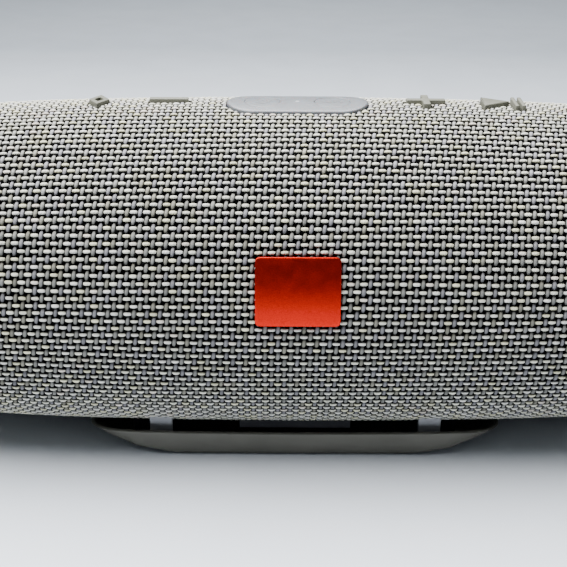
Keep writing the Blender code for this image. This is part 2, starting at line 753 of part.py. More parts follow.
def make_lead(name, points, radius):
    route = smooth_route(points)
    curve = bpy.data.curves.new(name, "CURVE")
    curve.dimensions = "3D"
    curve.bevel_depth = radius * MM
    curve.bevel_resolution = 1
    curve.use_fill_caps = True
    spline = curve.splines.new("POLY")
    spline.points.add(len(route) - 1)
    for point, spot in zip(spline.points, route):
        point.co = (*(spot * MM), 1)
    add_object(name, curve, AXIS, LEAD_RED)


def make_leads():
    for side, sign in (("left", -1), ("right", 1)):
        make_lead(
            f"driver_lead_{side}",
            [(sign * 66.5, -12, 2), (sign * 66, -4, 5), (sign * 60, 5, 11), (sign * 46.8, 12, 16.8)],
            1.0,
        )
    make_lead(
        "battery_lead", [(54.6, 2, -24.5), (59, 6, -20), (61, 14, -4), (56, 18, 11), (46.8, 22, 16.8)], 1.2
    )


# ---------------------------------------------------------------- plinth and foot


def make_plinth():
    """Black base under the barrel: a flange inside the foot and a block that meets the enclosure."""
    screw_x, screw_y = PLINTH_SCREWS
    places = [(sx * screw_x, sy * screw_y) for sx in (-1, 1) for sy in (-1, 1)]
    plinth = box("base_plinth", (-43.5, -24, 1.8), (43.5, 24, 3.0), GROUND, BLACK, corner=6.0)
    pocket = WINDOW_HALF_LENGTH + 1
    block = box(
        "plinth_block", (-PLINTH_HALF_LENGTH, -PLINTH_HALF_WIDTH, 2.2),
        (PLINTH_HALF_LENGTH, PLINTH_HALF_WIDTH, 12), GROUND, corner=3.0,
    )  # fmt: skip
    join(plinth, block)
    cut(
        plinth,
        barrel_cylinder("plinth_seat", PLINTH_TOP_RADIUS, AXIS, steps=60),
        rods("plinth_screw_holes", places, 1.4, 0, 20, GROUND, steps=10),
        rods("plinth_screw_seats", places, 2.7, 0, 4.3, GROUND, steps=12),
        box("window_pocket", (-pocket, -25, 3.4), (pocket, -15, 6.4), GROUND),
    )
    for number, (x, y) in enumerate(places, 1):
        screw = rods(f"plinth_screw_{number}", [(x, y)], 1.15, 3.5, 12.4, GROUND, STEEL, steps=10)
        join(screw, rods(f"{screw.name}_head", [(x, y)], 2.3, 2.3, 4.0, GROUND, steps=12))


def make_battery_gauge():
    """Smoked window in the plinth's front wall, with five lamps on a small board behind it."""
    reach = WINDOW_HALF_LENGTH
    box("battery_window", (-reach, -19.3, 3.6), (reach, -18.2, 6.2), GROUND, SMOKED)
    board = box("gauge_board", (-reach, -16.4, 3.7), (reach, -15.4, 6.1), GROUND, BOARD_GREEN)
    lamps = [((x - 0.9, -17.4, 4.3), (x + 0.9, -16.1, 5.5)) for x in (-10, -5, 0, 5, 10)]
    join(board, boxes("gauge_lamps", lamps, GROUND))


def make_clips():
    for number, (sx, sy) in enumerate(((-1, -1), (1, -1), (-1, 1), (1, 1)), 1):
        x, y = sx * CLIP_X, sy * CLIP_Y
        half_x, half_y = CLIP_SIZE[0] / 2, CLIP_SIZE[1] / 2
        box(
            f"foot_clip_{number}", (x - half_x, y - half_y, 1.8), (x + half_x, y + half_y, 13.0),
            GROUND, CLIP_PLASTIC,
        )  # fmt: skip


def rounded_loop(half_length, half_width, radius, corner_steps=7, side_steps=5):
    """Points round a rounded rectangle, anticlockwise from its right side."""
    points = []
    corners = ((1, 1, 0), (-1, 1, 90), (-1, -1, 180), (1, -1, 270))
    for sx, sy, start in corners:
        centre = Vector((sx * (half_length - radius), sy * (half_width - radius)))
        for step in range(corner_steps + 1):
            angle = math.radians(start + 90 * step / corner_steps)
            points.append(centre + radius * Vector((math.cos(angle), math.sin(angle))))
        along = Vector((-math.sin(math.radians(start + 90)), math.cos(math.radians(start + 90))))
        side = 2 * (half_length if abs(along.x) > 0.5 else half_width) - 2 * radius
        corner_end = points[-1]
        points += [corner_end + along * side * step / side_steps for step in range(1, side_steps)]
    return points


def rim_height(x, y):
    """The rim follows the barrel's underside; its gap opens towards the front and back."""
    follow = barrel_radius(x) + 0.35 + FOOT_FRONT_GAP * (y / FOOT_RIM[1]) ** 2
    return AXIS_HEIGHT - math.sqrt(follow**2 - y**2)


def make_foot():
    """Boat-shaped rubber tray: a flat sole, flared walls and a rim that hugs the barrel."""
    rim, sole, floor = (rounded_loop(*size) for size in (FOOT_RIM, FOOT_SOLE, FOOT_FLOOR))
    inner_rim = rounded_loop(*(size - FOOT_RIM_WALL for size in FOOT_RIM))
    flare = ((0.0, 0.0), (0.25, 0.03), (0.5, 0.2), (0.75, 0.5), (1.0, 0.9), (1.0, 1.0))
    levels = [
        [
            (*(low + (top - low) * out), rim_height(*top) * up)
            for low, top in zip(sole, rim)
        ]
        for out, up in flare
    ]
    levels.append([(*inner, rim_height(*top)) for inner, top in zip(inner_rim, rim)])
    levels.append([(*point, FOOT_FLOOR_HEIGHT) for point in floor])
    bm = bmesh.new()
    rings = [[bm.verts.new(point) for point in level] for level in levels]
    count = len(rim)
    for lower, upper in zip(rings, rings[1:]):
        for i in range(count):
            j = (i + 1) % count
            bm.faces.new((lower[i], lower[j], upper[j], upper[i]))
    bm.faces.new(list(reversed(rings[0])))
    bm.faces.new(rings[-1])
    add_object("foot", finish_mesh(bm, "foot"), GROUND, FOOT_RUBBER)


# ---------------------------------------------------------------- build

make_fabric_cover()
make_grille_core()
make_enclosure_front()
make_enclosure_rear()
for side, x in (("left", -DRIVER_X), ("right", DRIVER_X)):
    make_driver(side, x)
    make_end(side)
make_badge()
make_control_panel()
make_round_key("power_button")
make_round_key("link_button")
for key_name in SYMBOLS:
    make_symbol_key(key_name)
make_button_board()
make_port_tray()
make_port_door()
make_sockets()
make_electronics()
make_leads()
make_plinth()
make_battery_gauge()
make_clips()
make_foot()
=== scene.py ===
"""Looks of a portable bluetooth speaker: a barrel in coarse woven cloth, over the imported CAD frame.

Shapes are drawn in millimetres in a local frame and placed by that frame's matrix. A frame's Z points out
of the surface that its pieces sit on: up for the controls, forward for the badge, outward for each end.
"""

import math

import bmesh
import bpy
import numpy as np
from mathutils import Matrix, Vector


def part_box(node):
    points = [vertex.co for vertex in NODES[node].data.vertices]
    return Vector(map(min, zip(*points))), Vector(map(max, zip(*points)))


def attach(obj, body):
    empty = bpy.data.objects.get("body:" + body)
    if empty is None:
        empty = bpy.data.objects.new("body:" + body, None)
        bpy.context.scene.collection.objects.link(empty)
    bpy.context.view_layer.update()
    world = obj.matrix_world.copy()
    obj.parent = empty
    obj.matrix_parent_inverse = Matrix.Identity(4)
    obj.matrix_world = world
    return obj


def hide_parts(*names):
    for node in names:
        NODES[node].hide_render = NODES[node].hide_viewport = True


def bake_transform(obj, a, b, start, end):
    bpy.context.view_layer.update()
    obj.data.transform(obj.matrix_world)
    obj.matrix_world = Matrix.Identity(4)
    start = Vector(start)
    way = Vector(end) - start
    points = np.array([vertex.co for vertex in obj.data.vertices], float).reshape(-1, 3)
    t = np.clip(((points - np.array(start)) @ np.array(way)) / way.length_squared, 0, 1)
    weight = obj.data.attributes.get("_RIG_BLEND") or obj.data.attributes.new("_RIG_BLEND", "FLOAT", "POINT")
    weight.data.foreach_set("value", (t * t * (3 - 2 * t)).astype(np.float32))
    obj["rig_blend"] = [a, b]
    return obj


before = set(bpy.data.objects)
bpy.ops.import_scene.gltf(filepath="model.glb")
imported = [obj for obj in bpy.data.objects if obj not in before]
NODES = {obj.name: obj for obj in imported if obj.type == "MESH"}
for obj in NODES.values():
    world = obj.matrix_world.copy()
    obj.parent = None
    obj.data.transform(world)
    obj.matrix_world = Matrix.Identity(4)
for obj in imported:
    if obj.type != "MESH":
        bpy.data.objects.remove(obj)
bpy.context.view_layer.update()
ROOT = "speaker"
MM = 0.001
SIDES = {"left": -1, "right": 1}
CORNERS = (1, 2, 3, 4)  # the foot's clips and the plinth's screws, one at each corner

# Barrel, as the CAD has it
BARREL_RADIUS = 43.5
BARREL_CROWN = 2.4
BARREL_SHOULDER = 1.9
SHOULDER_STATION = 99.0
CLOTH_HALF_LENGTH = 98.4
FACE_TILT = 12.7  # degrees that the badge and the drivers look upwards

# Weave: each thread runs over one crossing thread and under the next
LENGTHWISE_THREADS = 144
HOOP_PITCH = 1.55
HOOPS_PER_BAND = 14
BANDS = range(-5, 5)
THREAD_SIDES = 6
THREAD_DEPTH = 0.74  # of a thread's middle line below the cloth's outer surface
THREAD_RISE = 0.42  # over and under the crossing threads
TUCK_REACH = 0.7  # threads dive under this close to an opening's edge
TUCK_DEPTH = 0.3
# Half a float and the dive at its end: where the rings stand, in crossings from its middle, and their sizes
RING_REACH = (0.2, 0.5, 0.63, 0.85)
LENGTHWISE_FLOAT = {
    "rise": (1.0, 0.8, 0.15, -0.9),
    "half_width": (0.45, 0.35, 0.2, 0.22),
    "half_height": (0.34, 0.26, 0.18, 0.17),
}
HOOP_FLOAT = {
    "rise": (0.95, 0.45, -0.1, -0.9),
    "half_width": (0.52, 0.38, 0.22, 0.22),
    "half_height": (0.36, 0.25, 0.17, 0.17),
}
# A hoop's float leans to one side: the shape of the lean, its size, its swing and the swing's length
LEAN_SHAPE = (0.3, 0.8, 0.9, 0.0)
LEAN_SIZE, LEAN_SWING, LEAN_LENGTH = 0.13, 0.05, 23
# Threads stray from their row in two waves: each one's size in rows, length and shift from row to row
WANDER = ((0.05, 17, 0.35), (0.035, 7.3, 1.1))
CREAM_CASTS = ((0.74, 0.735, 0.62), (0.73, 0.725, 0.665), (0.75, 0.73, 0.53), (0.75, 0.69, 0.6))
GREY_CASTS = ((0.19, 0.19, 0.176), (0.182, 0.18, 0.19), (0.19, 0.185, 0.153), (0.203, 0.203, 0.195))
CAST_SHARES = (0.5, 0.3, 0.14, 0.06)
CROWN_PAINTED_LIGHT = 1.15  # painted light: how much paler the hoops are along the crown, where the light from above falls
UNDERSIDE_PAINTED_SHADE = (0.35, 1.0, 1.0, 0.35, 0.01, 0.01)  # painted shade round a thread, darkest underneath
DIVE_SHADE_DARKEST = 0.01  # painted shade: the share of a thread's colour left where it dives
FULLY_SHADED_RISE, UNSHADED_RISE = 0.1, 0.7  # painted shade: darkest below the first, its own colour above the second
SIZE_SPREAD, COLOUR_SPREAD = 0.04, 0.09  # between one float and the next
# Places in the baked image: columns, and the strip's lower and upper edge
LENGTHWISE_STRIPS, HOOP_STRIPS = (4, 0.0, 0.72), (1, 0.74, 1.0)
STRIP_MARGIN = 0.08

# Openings in the cloth: the room round what stands in them
SYMBOL_GAP, TRIM_GAP, CLIP_GAP, PLINTH_GAP = 0.12, 0.1, 0.2, 1.0
PLINTH_OPENING_HALF_WIDTH = 20.0
OPENING_REACH, FAR = 30, 99.0  # no opening reaches further across, and the clearance away from all of them
TRAY_CORNER = 4.0


def mirrored(half, sign=1):
    """A row of values from its second half. The first half is the same backwards, times the sign."""
    return np.array([*(sign * value for value in reversed(half)), *half])


def barrel_radius(x):
    share = np.abs(x) / SHOULDER_STATION
    return BARREL_RADIUS - BARREL_CROWN * share**2 - BARREL_SHOULDER * share**8


def node_box(name):
    """A CAD node's lowest and highest corners, in millimetres."""
    return tuple(Vector(corner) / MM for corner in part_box(name))


def centre_and_half(name):
    """A CAD node's middle and half its size, in millimetres."""
    low, high = node_box(name)
    return (low + high) / 2, (high - low) / 2


def turn_about(axis, degrees):
    return Matrix.Rotation(math.radians(degrees), 4, axis)


RING_PLACES = mirrored(RING_REACH, -1)
AXIS_HEIGHT = centre_and_half("end_ring_right")[0].z
GROUND = Matrix.Identity(4)
CROWN = Matrix.Translation((0, 0, AXIS_HEIGHT))
FACE = CROWN @ turn_about("X", 90 - FACE_TILT)
PORT = CROWN @ turn_about("Z", 180) @ turn_about("X", 90)
END = {side: CROWN @ turn_about("Y", 90 * sign) for side, sign in SIDES.items()}


# --- materials


class Look:
    """A procedural material grown round one Principled shader. Lengths in it are in millimetres."""

    def __init__(self, name, metallic=0.0, **constants):
        self.material = bpy.data.materials.new(name)
        self.material.use_nodes = True
        self.tree = self.material.node_tree
        self.shader = self.tree.nodes["Principled BSDF"]
        self.shader.inputs["Metallic"].default_value = metallic
        for socket, value in constants.items():
            self.shader.inputs[socket.replace("_", " ")].default_value = value
        self.relief = None

    def node(self, kind, inputs=None, **settings):
        """A new shader node, with each input set to a constant or linked to a socket."""
        made = self.tree.nodes.new("ShaderNode" + kind)
        for key, value in settings.items():
            setattr(made, key, value)
        for key, value in (inputs or {}).items():
            if isinstance(value, bpy.types.NodeSocket):
                self.link(value, made.inputs[key])
            else:
                made.inputs[key].default_value = value
        return made

    def link(self, source, target):
        self.tree.links.new(source, target)

    def coordinates(self, stretch=(1, 1, 1)):
        """Object coordinates in millimetres, each times its own factor."""
        place = self.node("TexCoord").outputs["Object"]
        scale = [share / MM for share in stretch]
        return self.node("Mapping", {"Vector": place, "Scale": scale}).outputs["Vector"]

    def noise(self, size, detail=3.0, stretch=(1, 1, 1)):
        inputs = {"Vector": self.coordinates(stretch), "Scale": 1 / size, "Detail": detail}
        return self.node("TexNoise", inputs).outputs["Fac"]

    def spread(self, source, low, high, start=0.3, end=0.7):
        inputs = {"Value": source, "From Min": start, "From Max": end, "To Min": low, "To Max": high}
        return self.node("MapRange", inputs).outputs["Result"]

    def blend(self, source, *colours, mode="MIX"):
        """A colour between two, each a colour or a socket."""
        first, second = ((*colour, 1) if isinstance(colour, tuple) else colour for colour in colours)
        inputs = {"Factor": source, 6: first, 7: second}
        return self.node("Mix", inputs, data_type="RGBA", blend_type=mode).outputs[2]

    def colour(self, socket):
        self.link(socket, self.shader.inputs["Base Color"])

    def shades(self, source, dark, light):
        """Colours the surface between two colours, by a noise."""
        self.colour(self.blend(self.spread(source, 0, 1), dark, light))

    def rough(self, source, low, high):
        self.link(self.spread(source, low, high), self.shader.inputs["Roughness"])

    def raise_by(self, source, depth, strength=1.0):
        """Adds a bump of this depth on top of the earlier ones."""
        inputs = {"Height": source, "Distance": depth * MM, "Strength": strength}
        if self.relief:
            inputs["Normal"] = self.relief
        self.relief = self.node("Bump", inputs).outputs["Normal"]
        self.link(self.relief, self.shader.inputs["Normal"])

    def maths(self, operation, *operands):
        return self.node("Math", dict(enumerate(operands)), operation=operation).outputs[0]

    def worn(self, base, lighter):
        """A colour that pales on the outward edges."""
        edge = self.node("NewGeometry").outputs["Pointiness"]
        return self.blend(self.spread(edge, 0, 0.5, 0.5, 0.58), base, lighter)


def moulded(name, dark, light, rough=(0.5, 0.65), grain=0.35, depth=0.02, wear=None, patch=9.0, **constants):
    """Moulded plastic or rubber: cloudy colour, a fine grain and paler edges."""
    look = Look(name, **constants)
    base = look.blend(look.spread(look.noise(patch), 0, 1), dark, light)
    if wear:
        base = look.worn(base, wear)
    look.colour(base)
    look.rough(look.noise(patch / 4), *rough)
    look.raise_by(look.noise(grain, detail=2.0), depth)
    return look.material


def plated_steel():
    """Drawn metal, with its lines along the barrel."""
    look = Look("plated steel", metallic=1.0)
    lines = look.noise(0.3, detail=4.0, stretch=(0.05, 1, 1))
    look.shades(lines, (0.5, 0.5, 0.51), (0.66, 0.66, 0.67))
    look.rough(lines, 0.25, 0.4)
    look.raise_by(lines, 0.004)
    return look.material


def spun_aluminium():
    """Metal turned on a lathe round the barrel's axis, with fine circular lines."""
    look = Look("spun aluminium", metallic=0.85)
    ends = {0: look.coordinates((0, 1, 1)), 1: (0, 0, AXIS_HEIGHT)}
    radius = look.node("VectorMath", ends, operation="DISTANCE").outputs["Value"]
    inputs = {"W": radius, "Scale": 3.0, "Detail": 3.0}
    rings = look.node("TexNoise", inputs, noise_dimensions="1D").outputs["Fac"]
    look.shades(rings, (0.26, 0.26, 0.27), (0.38, 0.38, 0.39))
    look.rough(look.noise(6.0), 0.3, 0.42)
    look.raise_by(rings, 0.012)
    return look.material


def yarn():
    """Thread: the thread attribute carries each float's own colour, darkened by painted shade where it dives
    and on its underside and, on the hoops, paled by painted light along the crown. Its plies twist along it.
    """
    look = Look("woven yarn", Specular_IOR_Level=0.1)
    colour = look.node("Attribute", attribute_name="thread").outputs["Color"]
    mottle = look.spread(look.noise(0.25, detail=2.0), 0, 1)
    mottled = look.blend(mottle, (0.8, 0.8, 0.8), (1.0, 1.0, 1.0))
    look.colour(look.blend(1.0, colour, mottled, mode="MULTIPLY"))
    look.rough(look.noise(1.2), 0.55, 0.75)
    along = look.node("UVMap", uv_map="ply").outputs["UV"]
    along, around, _ = look.node("SeparateXYZ", {"Vector": along}).outputs
    plies = look.maths("SINE", look.maths("MULTIPLY", look.maths("ADD", along, around), 4 * math.pi))
    look.raise_by(plies, 0.03, 0.6)
    look.raise_by(look.noise(0.12, detail=2.0), 0.02, 0.7)
    return look.material


def anodised_red():
    look = Look("red badge", metallic=0.98)
    flakes = look.noise(0.2, detail=2.0)
    look.shades(flakes, (0.34, 0.0075, 0.003), (0.54, 0.014, 0.005))
    look.rough(look.noise(2.5), 0.3, 0.38)
    look.raise_by(flakes, 0.008)
    return look.material


def circuit_board():
    look = Look("circuit board", Coat_Weight=0.3)
    inputs = {"Vector": look.coordinates(), "Scale": 0.5, "Randomness": 0.4}
    cells = look.node("TexVoronoi", inputs, feature="DISTANCE_TO_EDGE", distance="CHEBYCHEV")
    traces = look.spread(cells.outputs["Distance"], 1, 0, 0.05, 0.09)
    look.colour(look.blend(traces, (0.008, 0.09, 0.035), (0.02, 0.2, 0.08)))
    look.rough(look.noise(3.0), 0.35, 0.5)
    look.raise_by(traces, 0.03)
    return look.material


def lead_sleeve():
    look = Look("lead sleeve")
    inputs = {"Vector": look.coordinates(), "Scale": 0.6, "Distortion": 1.5}
    waves = look.node("TexWave", inputs, wave_type="BANDS", bands_direction="DIAGONAL").outputs["Fac"]
    look.colour(look.blend(waves, (0.1, 0.008, 0.008), (0.28, 0.02, 0.02)))
    look.rough(look.noise(1.0), 0.5, 0.7)
    look.raise_by(waves, 0.05)
    return look.material


YARN = yarn()
BADGE_RED = anodised_red()
KEY_RUBBER = moulded(
    "key rubber", (0.085, 0.087, 0.064), (0.11, 0.112, 0.085), rough=(0.5, 0.62), wear=(0.16, 0.16, 0.132),
    grain=0.2, depth=0.01, Specular_IOR_Level=0.4,
)
PANEL_RUBBER = moulded(
    "panel rubber", (0.118, 0.126, 0.139), (0.134, 0.142, 0.155), rough=(0.38, 0.5), grain=0.25, depth=0.006,
    Subsurface_Weight=0.15, Subsurface_Scale=0.002, Coat_Weight=0.1,
)
ICON_INK = moulded("icon ink", (0.12, 0.125, 0.135), (0.14, 0.145, 0.155), rough=(0.5, 0.6), depth=0.003)
FOOT_RUBBER = moulded(
    "foot rubber", (0.09, 0.088, 0.071), (0.116, 0.113, 0.093), rough=(0.46, 0.62), wear=(0.155, 0.152, 0.13),
    grain=0.3, depth=0.012, patch=14.0,
)
RING_RUBBER = moulded(
    "ring rubber", (0.115, 0.115, 0.096), (0.145, 0.145, 0.123), rough=(0.48, 0.62), wear=(0.2, 0.2, 0.175),
    grain=0.3, depth=0.012, patch=14.0,
)
SURROUND_RUBBER = moulded("surround rubber", (0.02, 0.02, 0.021), (0.032, 0.032, 0.034), rough=(0.4, 0.5))
CLIP_PLASTIC = moulded(
    "clip plastic", (0.3, 0.305, 0.325), (0.35, 0.355, 0.375), rough=(0.45, 0.6), depth=0.008
)
BLACK_PLASTIC = moulded("black plastic", (0.008, 0.008, 0.009), (0.014, 0.014, 0.016), rough=(0.55, 0.75))
CORE_BLACK = moulded(
    "core black", (0.002, 0.002, 0.0022), (0.003, 0.003, 0.0034), rough=(0.7, 0.85), Specular_IOR_Level=0.05
)
# Painted light: far paler than smoked plastic, to lighten the window where it lies in shade under the barrel.
SMOKED = moulded(
    "smoked window", (0.45, 0.46, 0.52), (0.53, 0.54, 0.6), rough=(0.12, 0.2), depth=0.001, Coat_Weight=0.5
)
LAMP = moulded("lamp lens", (0.3, 0.31, 0.33), (0.36, 0.37, 0.39), rough=(0.3, 0.4), depth=0.002)
DISC_METAL = spun_aluminium()
STEEL = plated_steel()
FERRITE = moulded(
    "ferrite", (0.03, 0.03, 0.033), (0.055, 0.055, 0.06), rough=(0.4, 0.6), grain=0.5, depth=0.03
)
CONE_PULP = moulded(
    "cone pulp", (0.02, 0.02, 0.02), (0.045, 0.045, 0.043), rough=(0.7, 0.9), grain=0.7, depth=0.05
)
BOARD = circuit_board()
BATTERY_WRAP = moulded(
    "battery wrap", (0.02, 0.07, 0.22), (0.03, 0.1, 0.3), rough=(0.2, 0.35), grain=3.0, depth=0.05,
    Coat_Weight=0.3,
)
LEAD_SLEEVE = lead_sleeve()


def dress_cad_nodes():
    """Nodes whose CAD shape stays get their procedural materials."""
    shells = ["enclosure_front", "enclosure_rear", "battery_bracket", "base_plinth", "aux_jack"]
    switches = [f"{key}_switch" for key in KEY_X]
    frames = [f"{node}_{side}" for node in ("radiator_frame", "driver_basket") for side in SIDES]
    looks = {
        CORE_BLACK: ["grille_core"],
        BLACK_PLASTIC: shells + switches + frames,
        STEEL: ["usb_a_socket", "micro_usb_socket", "board_shield", *(f"plinth_screw_{n}" for n in CORNERS)],
        BOARD: ["main_board", "port_board", "button_board", "gauge_board"],
        BATTERY_WRAP: ["battery_pack"],
        LEAD_SLEEVE: ["battery_lead", *(f"driver_lead_{side}" for side in SIDES)],
        FERRITE: [f"driver_magnet_{side}" for side in SIDES],
        CONE_PULP: [f"driver_cone_{side}" for side in SIDES],
    }
    for look, names in looks.items():
        for name in names:
            NODES[name].data.materials.clear()
            NODES[name].data.materials.append(look)


# --- pieces and shapes


def add_object(name, data):
    made = bpy.data.objects.new(name, data)
    bpy.context.scene.collection.objects.link(made)
    return made


def add_piece(name, mesh, look, body, slot, *nodes):
    piece = add_object(name, mesh)
    if not mesh.materials:
        mesh.materials.append(look)
    if body:
        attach(piece, body)
    if nodes:
        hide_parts(*nodes)
    return piece


def finish_mesh(bm, name, place, crease=32.0):
    """A mesh in metres from one in millimetres, smooth apart from edges that turn sharply."""
    bmesh.ops.recalc_face_normals(bm, faces=bm.faces)
    bm.transform(Matrix.Scale(MM, 4) @ place)
    limit = math.radians(crease)
    for face in bm.faces:
        face.smooth = True
    for edge in bm.edges:
        edge.smooth = edge.is_manifold and edge.calc_face_angle(0) < limit
    mesh = bpy.data.meshes.new(name)
    bm.to_mesh(mesh)
    bm.free()
    return mesh


def add_shape(name, bm, place, crease, look, body, slot, *nodes):
    return add_piece(name, finish_mesh(bm, name, place, crease), look, body, slot, *nodes)


def moved_outline(outline, distance):
    """A closed outline, anticlockwise, with each side moved outwards by the distance."""
    points = np.array(outline, float)
    back = points - np.roll(points, 1, axis=0)
    ahead = np.roll(points, -1, axis=0) - points
    normals = []
    for side in (back, ahead):
        side = side / np.linalg.norm(side, axis=1, keepdims=True)
        normals.append(np.stack([side[:, 1], -side[:, 0]], axis=1))
    share = 1 + (normals[0] * normals[1]).sum(axis=1, keepdims=True)
    return points + distance * (normals[0] + normals[1]) / share


def rounded(outline, radius, steps=5):
    """A closed outline with every corner rounded as far as its sides allow."""
    points = np.array(outline, float)
    made = []
    for i, corner in enumerate(points):
        ends = []
        for neighbour in (points[i - 1], points[(i + 1) % len(points)]):
            side = neighbour - corner
            length = np.linalg.norm(side)
            ends.append(corner + side / length * min(radius, 0.47 * length))
        for t in np.linspace(0, 1, steps + 1):
            made.append((1 - t) ** 2 * ends[0] + 2 * t * (1 - t) * corner + t**2 * ends[1])
    return np.array(made)


def divided(outline, spacing):
    """The same closed outline with points added along its long sides."""
    made = []
    for here, after in zip(outline, np.roll(outline, -1, axis=0)):
        count = max(1, round(float(np.linalg.norm(after - here)) / spacing))
        made += [here + (after - here) * step / count for step in range(count)]
    return np.array(made)


def rectangle(half_x, half_y, centre=(0, 0)):
    corners = np.array(((-1, -1), (1, -1), (1, 1), (-1, 1)))
    return np.array(centre) + corners * (half_x, half_y)


def quarter_arcs(half_x, half_y, radius, steps):
    """The four corners of a rectangle, anticlockwise, each as the points of a quarter circle."""
    for sx, sy, start in ((1, 1, 0), (-1, 1, 90), (-1, -1, 180), (1, -1, 270)):
        centre = (sx * (half_x - radius), sy * (half_y - radius))
        yield arc(radius, start, start + 90, centre, steps)


def round_cornered(half_x, half_y, radius, spacing=1.0, steps=8):
    """A rectangle whose corners are true quarter circles."""
    return divided(np.concatenate([*quarter_arcs(half_x, half_y, radius, steps)]), spacing)


def arc(radius, start, end, centre=(0, 0), steps=24):
    angles = np.radians(np.linspace(start, end, steps + 1))
    return np.stack([centre[0] + radius * np.cos(angles), centre[1] + radius * np.sin(angles)], axis=1)


def circle(radius, centre=(0, 0), steps=64):
    return arc(radius, 0, 360, centre, steps)[:-1]


def loft(bm, loops, close_end=True):
    """Joins loops of equally many points, and closes the start and, if asked, the end with a face."""
    rows = [[bm.verts.new(point) for point in loop] for loop in loops]
    for lower, upper in zip(rows, rows[1:]):
        for i in range(len(lower)):
            j = (i + 1) % len(lower)
            bm.faces.new((lower[i], lower[j], upper[j], upper[i]))
    bm.faces.new(list(reversed(rows[0])))
    if close_end:
        bm.faces.new(rows[-1])
    return rows


def raised(outline, height, drop=0.0):
    """The points of an outline at a height, which is a number, one for each point or a function."""
    x, y = np.asarray(outline, float).T
    z = height(x, y) if callable(height) else height
    return np.column_stack([x, y, np.broadcast_to(z - drop, x.shape)])


def rim(outline, height, radius, steps=4, hollow=False):
    """Loops round a quarter circle, from the side of an outline, or of a hollow, to its top."""
    sign = 1 if hollow else -1
    loops = []
    for angle in np.linspace(0, math.pi / 2, steps + 1):
        inset, drop = radius * (1 - math.cos(angle)), radius * (1 - math.sin(angle))
        loops.append(raised(moved_outline(outline, sign * inset), height, drop))
    return loops[::-1] if hollow else loops


def draped_plate(outline, surface, base, edge, rings):
    """A plate whose top lies on a curved surface, with a rounded rim and a flat underside."""
    bm = bmesh.new()
    top = moved_outline(outline, -edge)
    centre = top.mean(axis=0)
    inner = [centre + (top - centre) * share for share in np.linspace(1, 0, rings + 1)[1:-1]]
    loops = [raised(outline, base), *rim(outline, surface, edge), *(raised(ring, surface) for ring in inner)]
    last = loft(bm, loops, close_end=False)[-1]
    middle = bm.verts.new((*centre, surface(*centre)))
    for i, vert in enumerate(last):
        bm.faces.new((vert, last[(i + 1) % len(last)], middle))
    return bm


def raised_shape(bm, outline, base, top, edge):
    """A flat-topped shape with a rounded rim."""
    loft(bm, [raised(outline, base), *rim(outline, top, edge, 3)])


def lathe(profile, steps=128, closed=True):
    """Turns (radius, height) points round Z. Points on the axis become one vertex."""
    bm = bmesh.new()
    angles = np.arange(steps) * 2 * math.pi / steps
    rows = []
    for radius, height in profile:
        if radius < 1e-6:
            rows.append([bm.verts.new((0, 0, height))])
        else:
            rows.append([bm.verts.new((radius * math.cos(a), radius * math.sin(a), height)) for a in angles])
    pairs = list(zip(rows, rows[1:]))
    if closed:
        pairs.append((rows[-1], rows[0]))
    for first, second in pairs:
        for i in range(steps):
            j = (i + 1) % steps
            corners = [row[k % len(row)] for row, k in ((first, i), (first, j), (second, j), (second, i))]
            bm.faces.new(list(dict.fromkeys(corners)))
    return bm


def cylinder_surface(radius):
    """Height over the middle plane of a cylinder round the barrel's axis."""
    return lambda x, y: np.sqrt(radius**2 - y**2)


def soft_box(name, node, look, slot, edge):
    """A CAD node's box again, with its edges rounded."""
    middle, half = centre_and_half(node)
    bm = bmesh.new()
    bmesh.ops.create_cube(bm, size=2.0, matrix=Matrix.Translation(middle) @ Matrix.Diagonal((*half, 1)))
    bmesh.ops.bevel(bm, geom=bm.edges[:], offset=edge, segments=3, profile=0.5, affect="EDGES")
    add_shape(name, bm, GROUND, 60, look, ROOT, slot, node)


def carve(piece, cutter_name, bm, place):
    """Cuts a shape out of a piece and applies the result."""
    cutter = add_object(cutter_name, finish_mesh(bm, cutter_name, place))
    modifier = piece.modifiers.new("carve", "BOOLEAN")
    modifier.operation = "DIFFERENCE"
    modifier.solver = "EXACT"
    modifier.object = cutter
    bpy.context.view_layer.update()
    evaluated = piece.evaluated_get(bpy.context.evaluated_depsgraph_get())
    mesh = bpy.data.meshes.new_from_object(evaluated)
    piece.modifiers.clear()
    piece.data = mesh
    bpy.data.objects.remove(cutter)


# --- controls' outlines

BADGE_TOP, BADGE_UNDERSIDE = 44.4, 42.6
BADGE_HALF_HEIGHT, BADGE_CORNER, BADGE_EDGE = 8.3, 1.3, 0.16
PANEL_HALF, PANEL_CORNER = (18.05, 7.3), 7.25
PANEL_TOP, PANEL_UNDERSIDE, PANEL_EDGE = 43.85, 42.2, 0.45
ROUND_KEY_RADIUS, ROUND_KEY_GAP, ROUND_KEY_SUNK = 4.5, 0.06, 0.03
ROUND_KEY_UNDERSIDE, ROUND_KEY_EDGE, ROUND_HOLE_SPAN = 39.0, 0.12, (40, 46)
ROUND_FLANGE_RADIUS, ROUND_FLANGE_SPAN = 5.6, (37.4, 38.7)
CUTTER_EDGE = 0.1  # of what is cut out of the panel and the port tray
LAMP_RADIUS, LAMP_UNDERSIDE, LAMP_PROUD, LAMP_EDGE = 0.55, 43.6, 0.04, 0.1
INK_HALF_WIDTH, INK_PROUD, INK_SUNK = 0.22, 0.02, 0.15
KEY_X = {"pair": -51.0, "minus": -33.0, "power": -9.0, "link": 9.0, "plus": 33.0, "play": 53.2}
KEY_BASE_TOP, KEY_BASE_EDGE, KEY_BASE_CORNER = 38.7, 0.2, 0.8
SYMBOL_LINE = 2.0  # of the symbols, behind the crown
SYMBOL_REACH, PLUS_ACROSS, BAR_HALF = 5.0, 4.4, 0.95
PLAY_BACK, PLAY_TIP, PLAY_HALF = -5.5, 1.5, 4.1
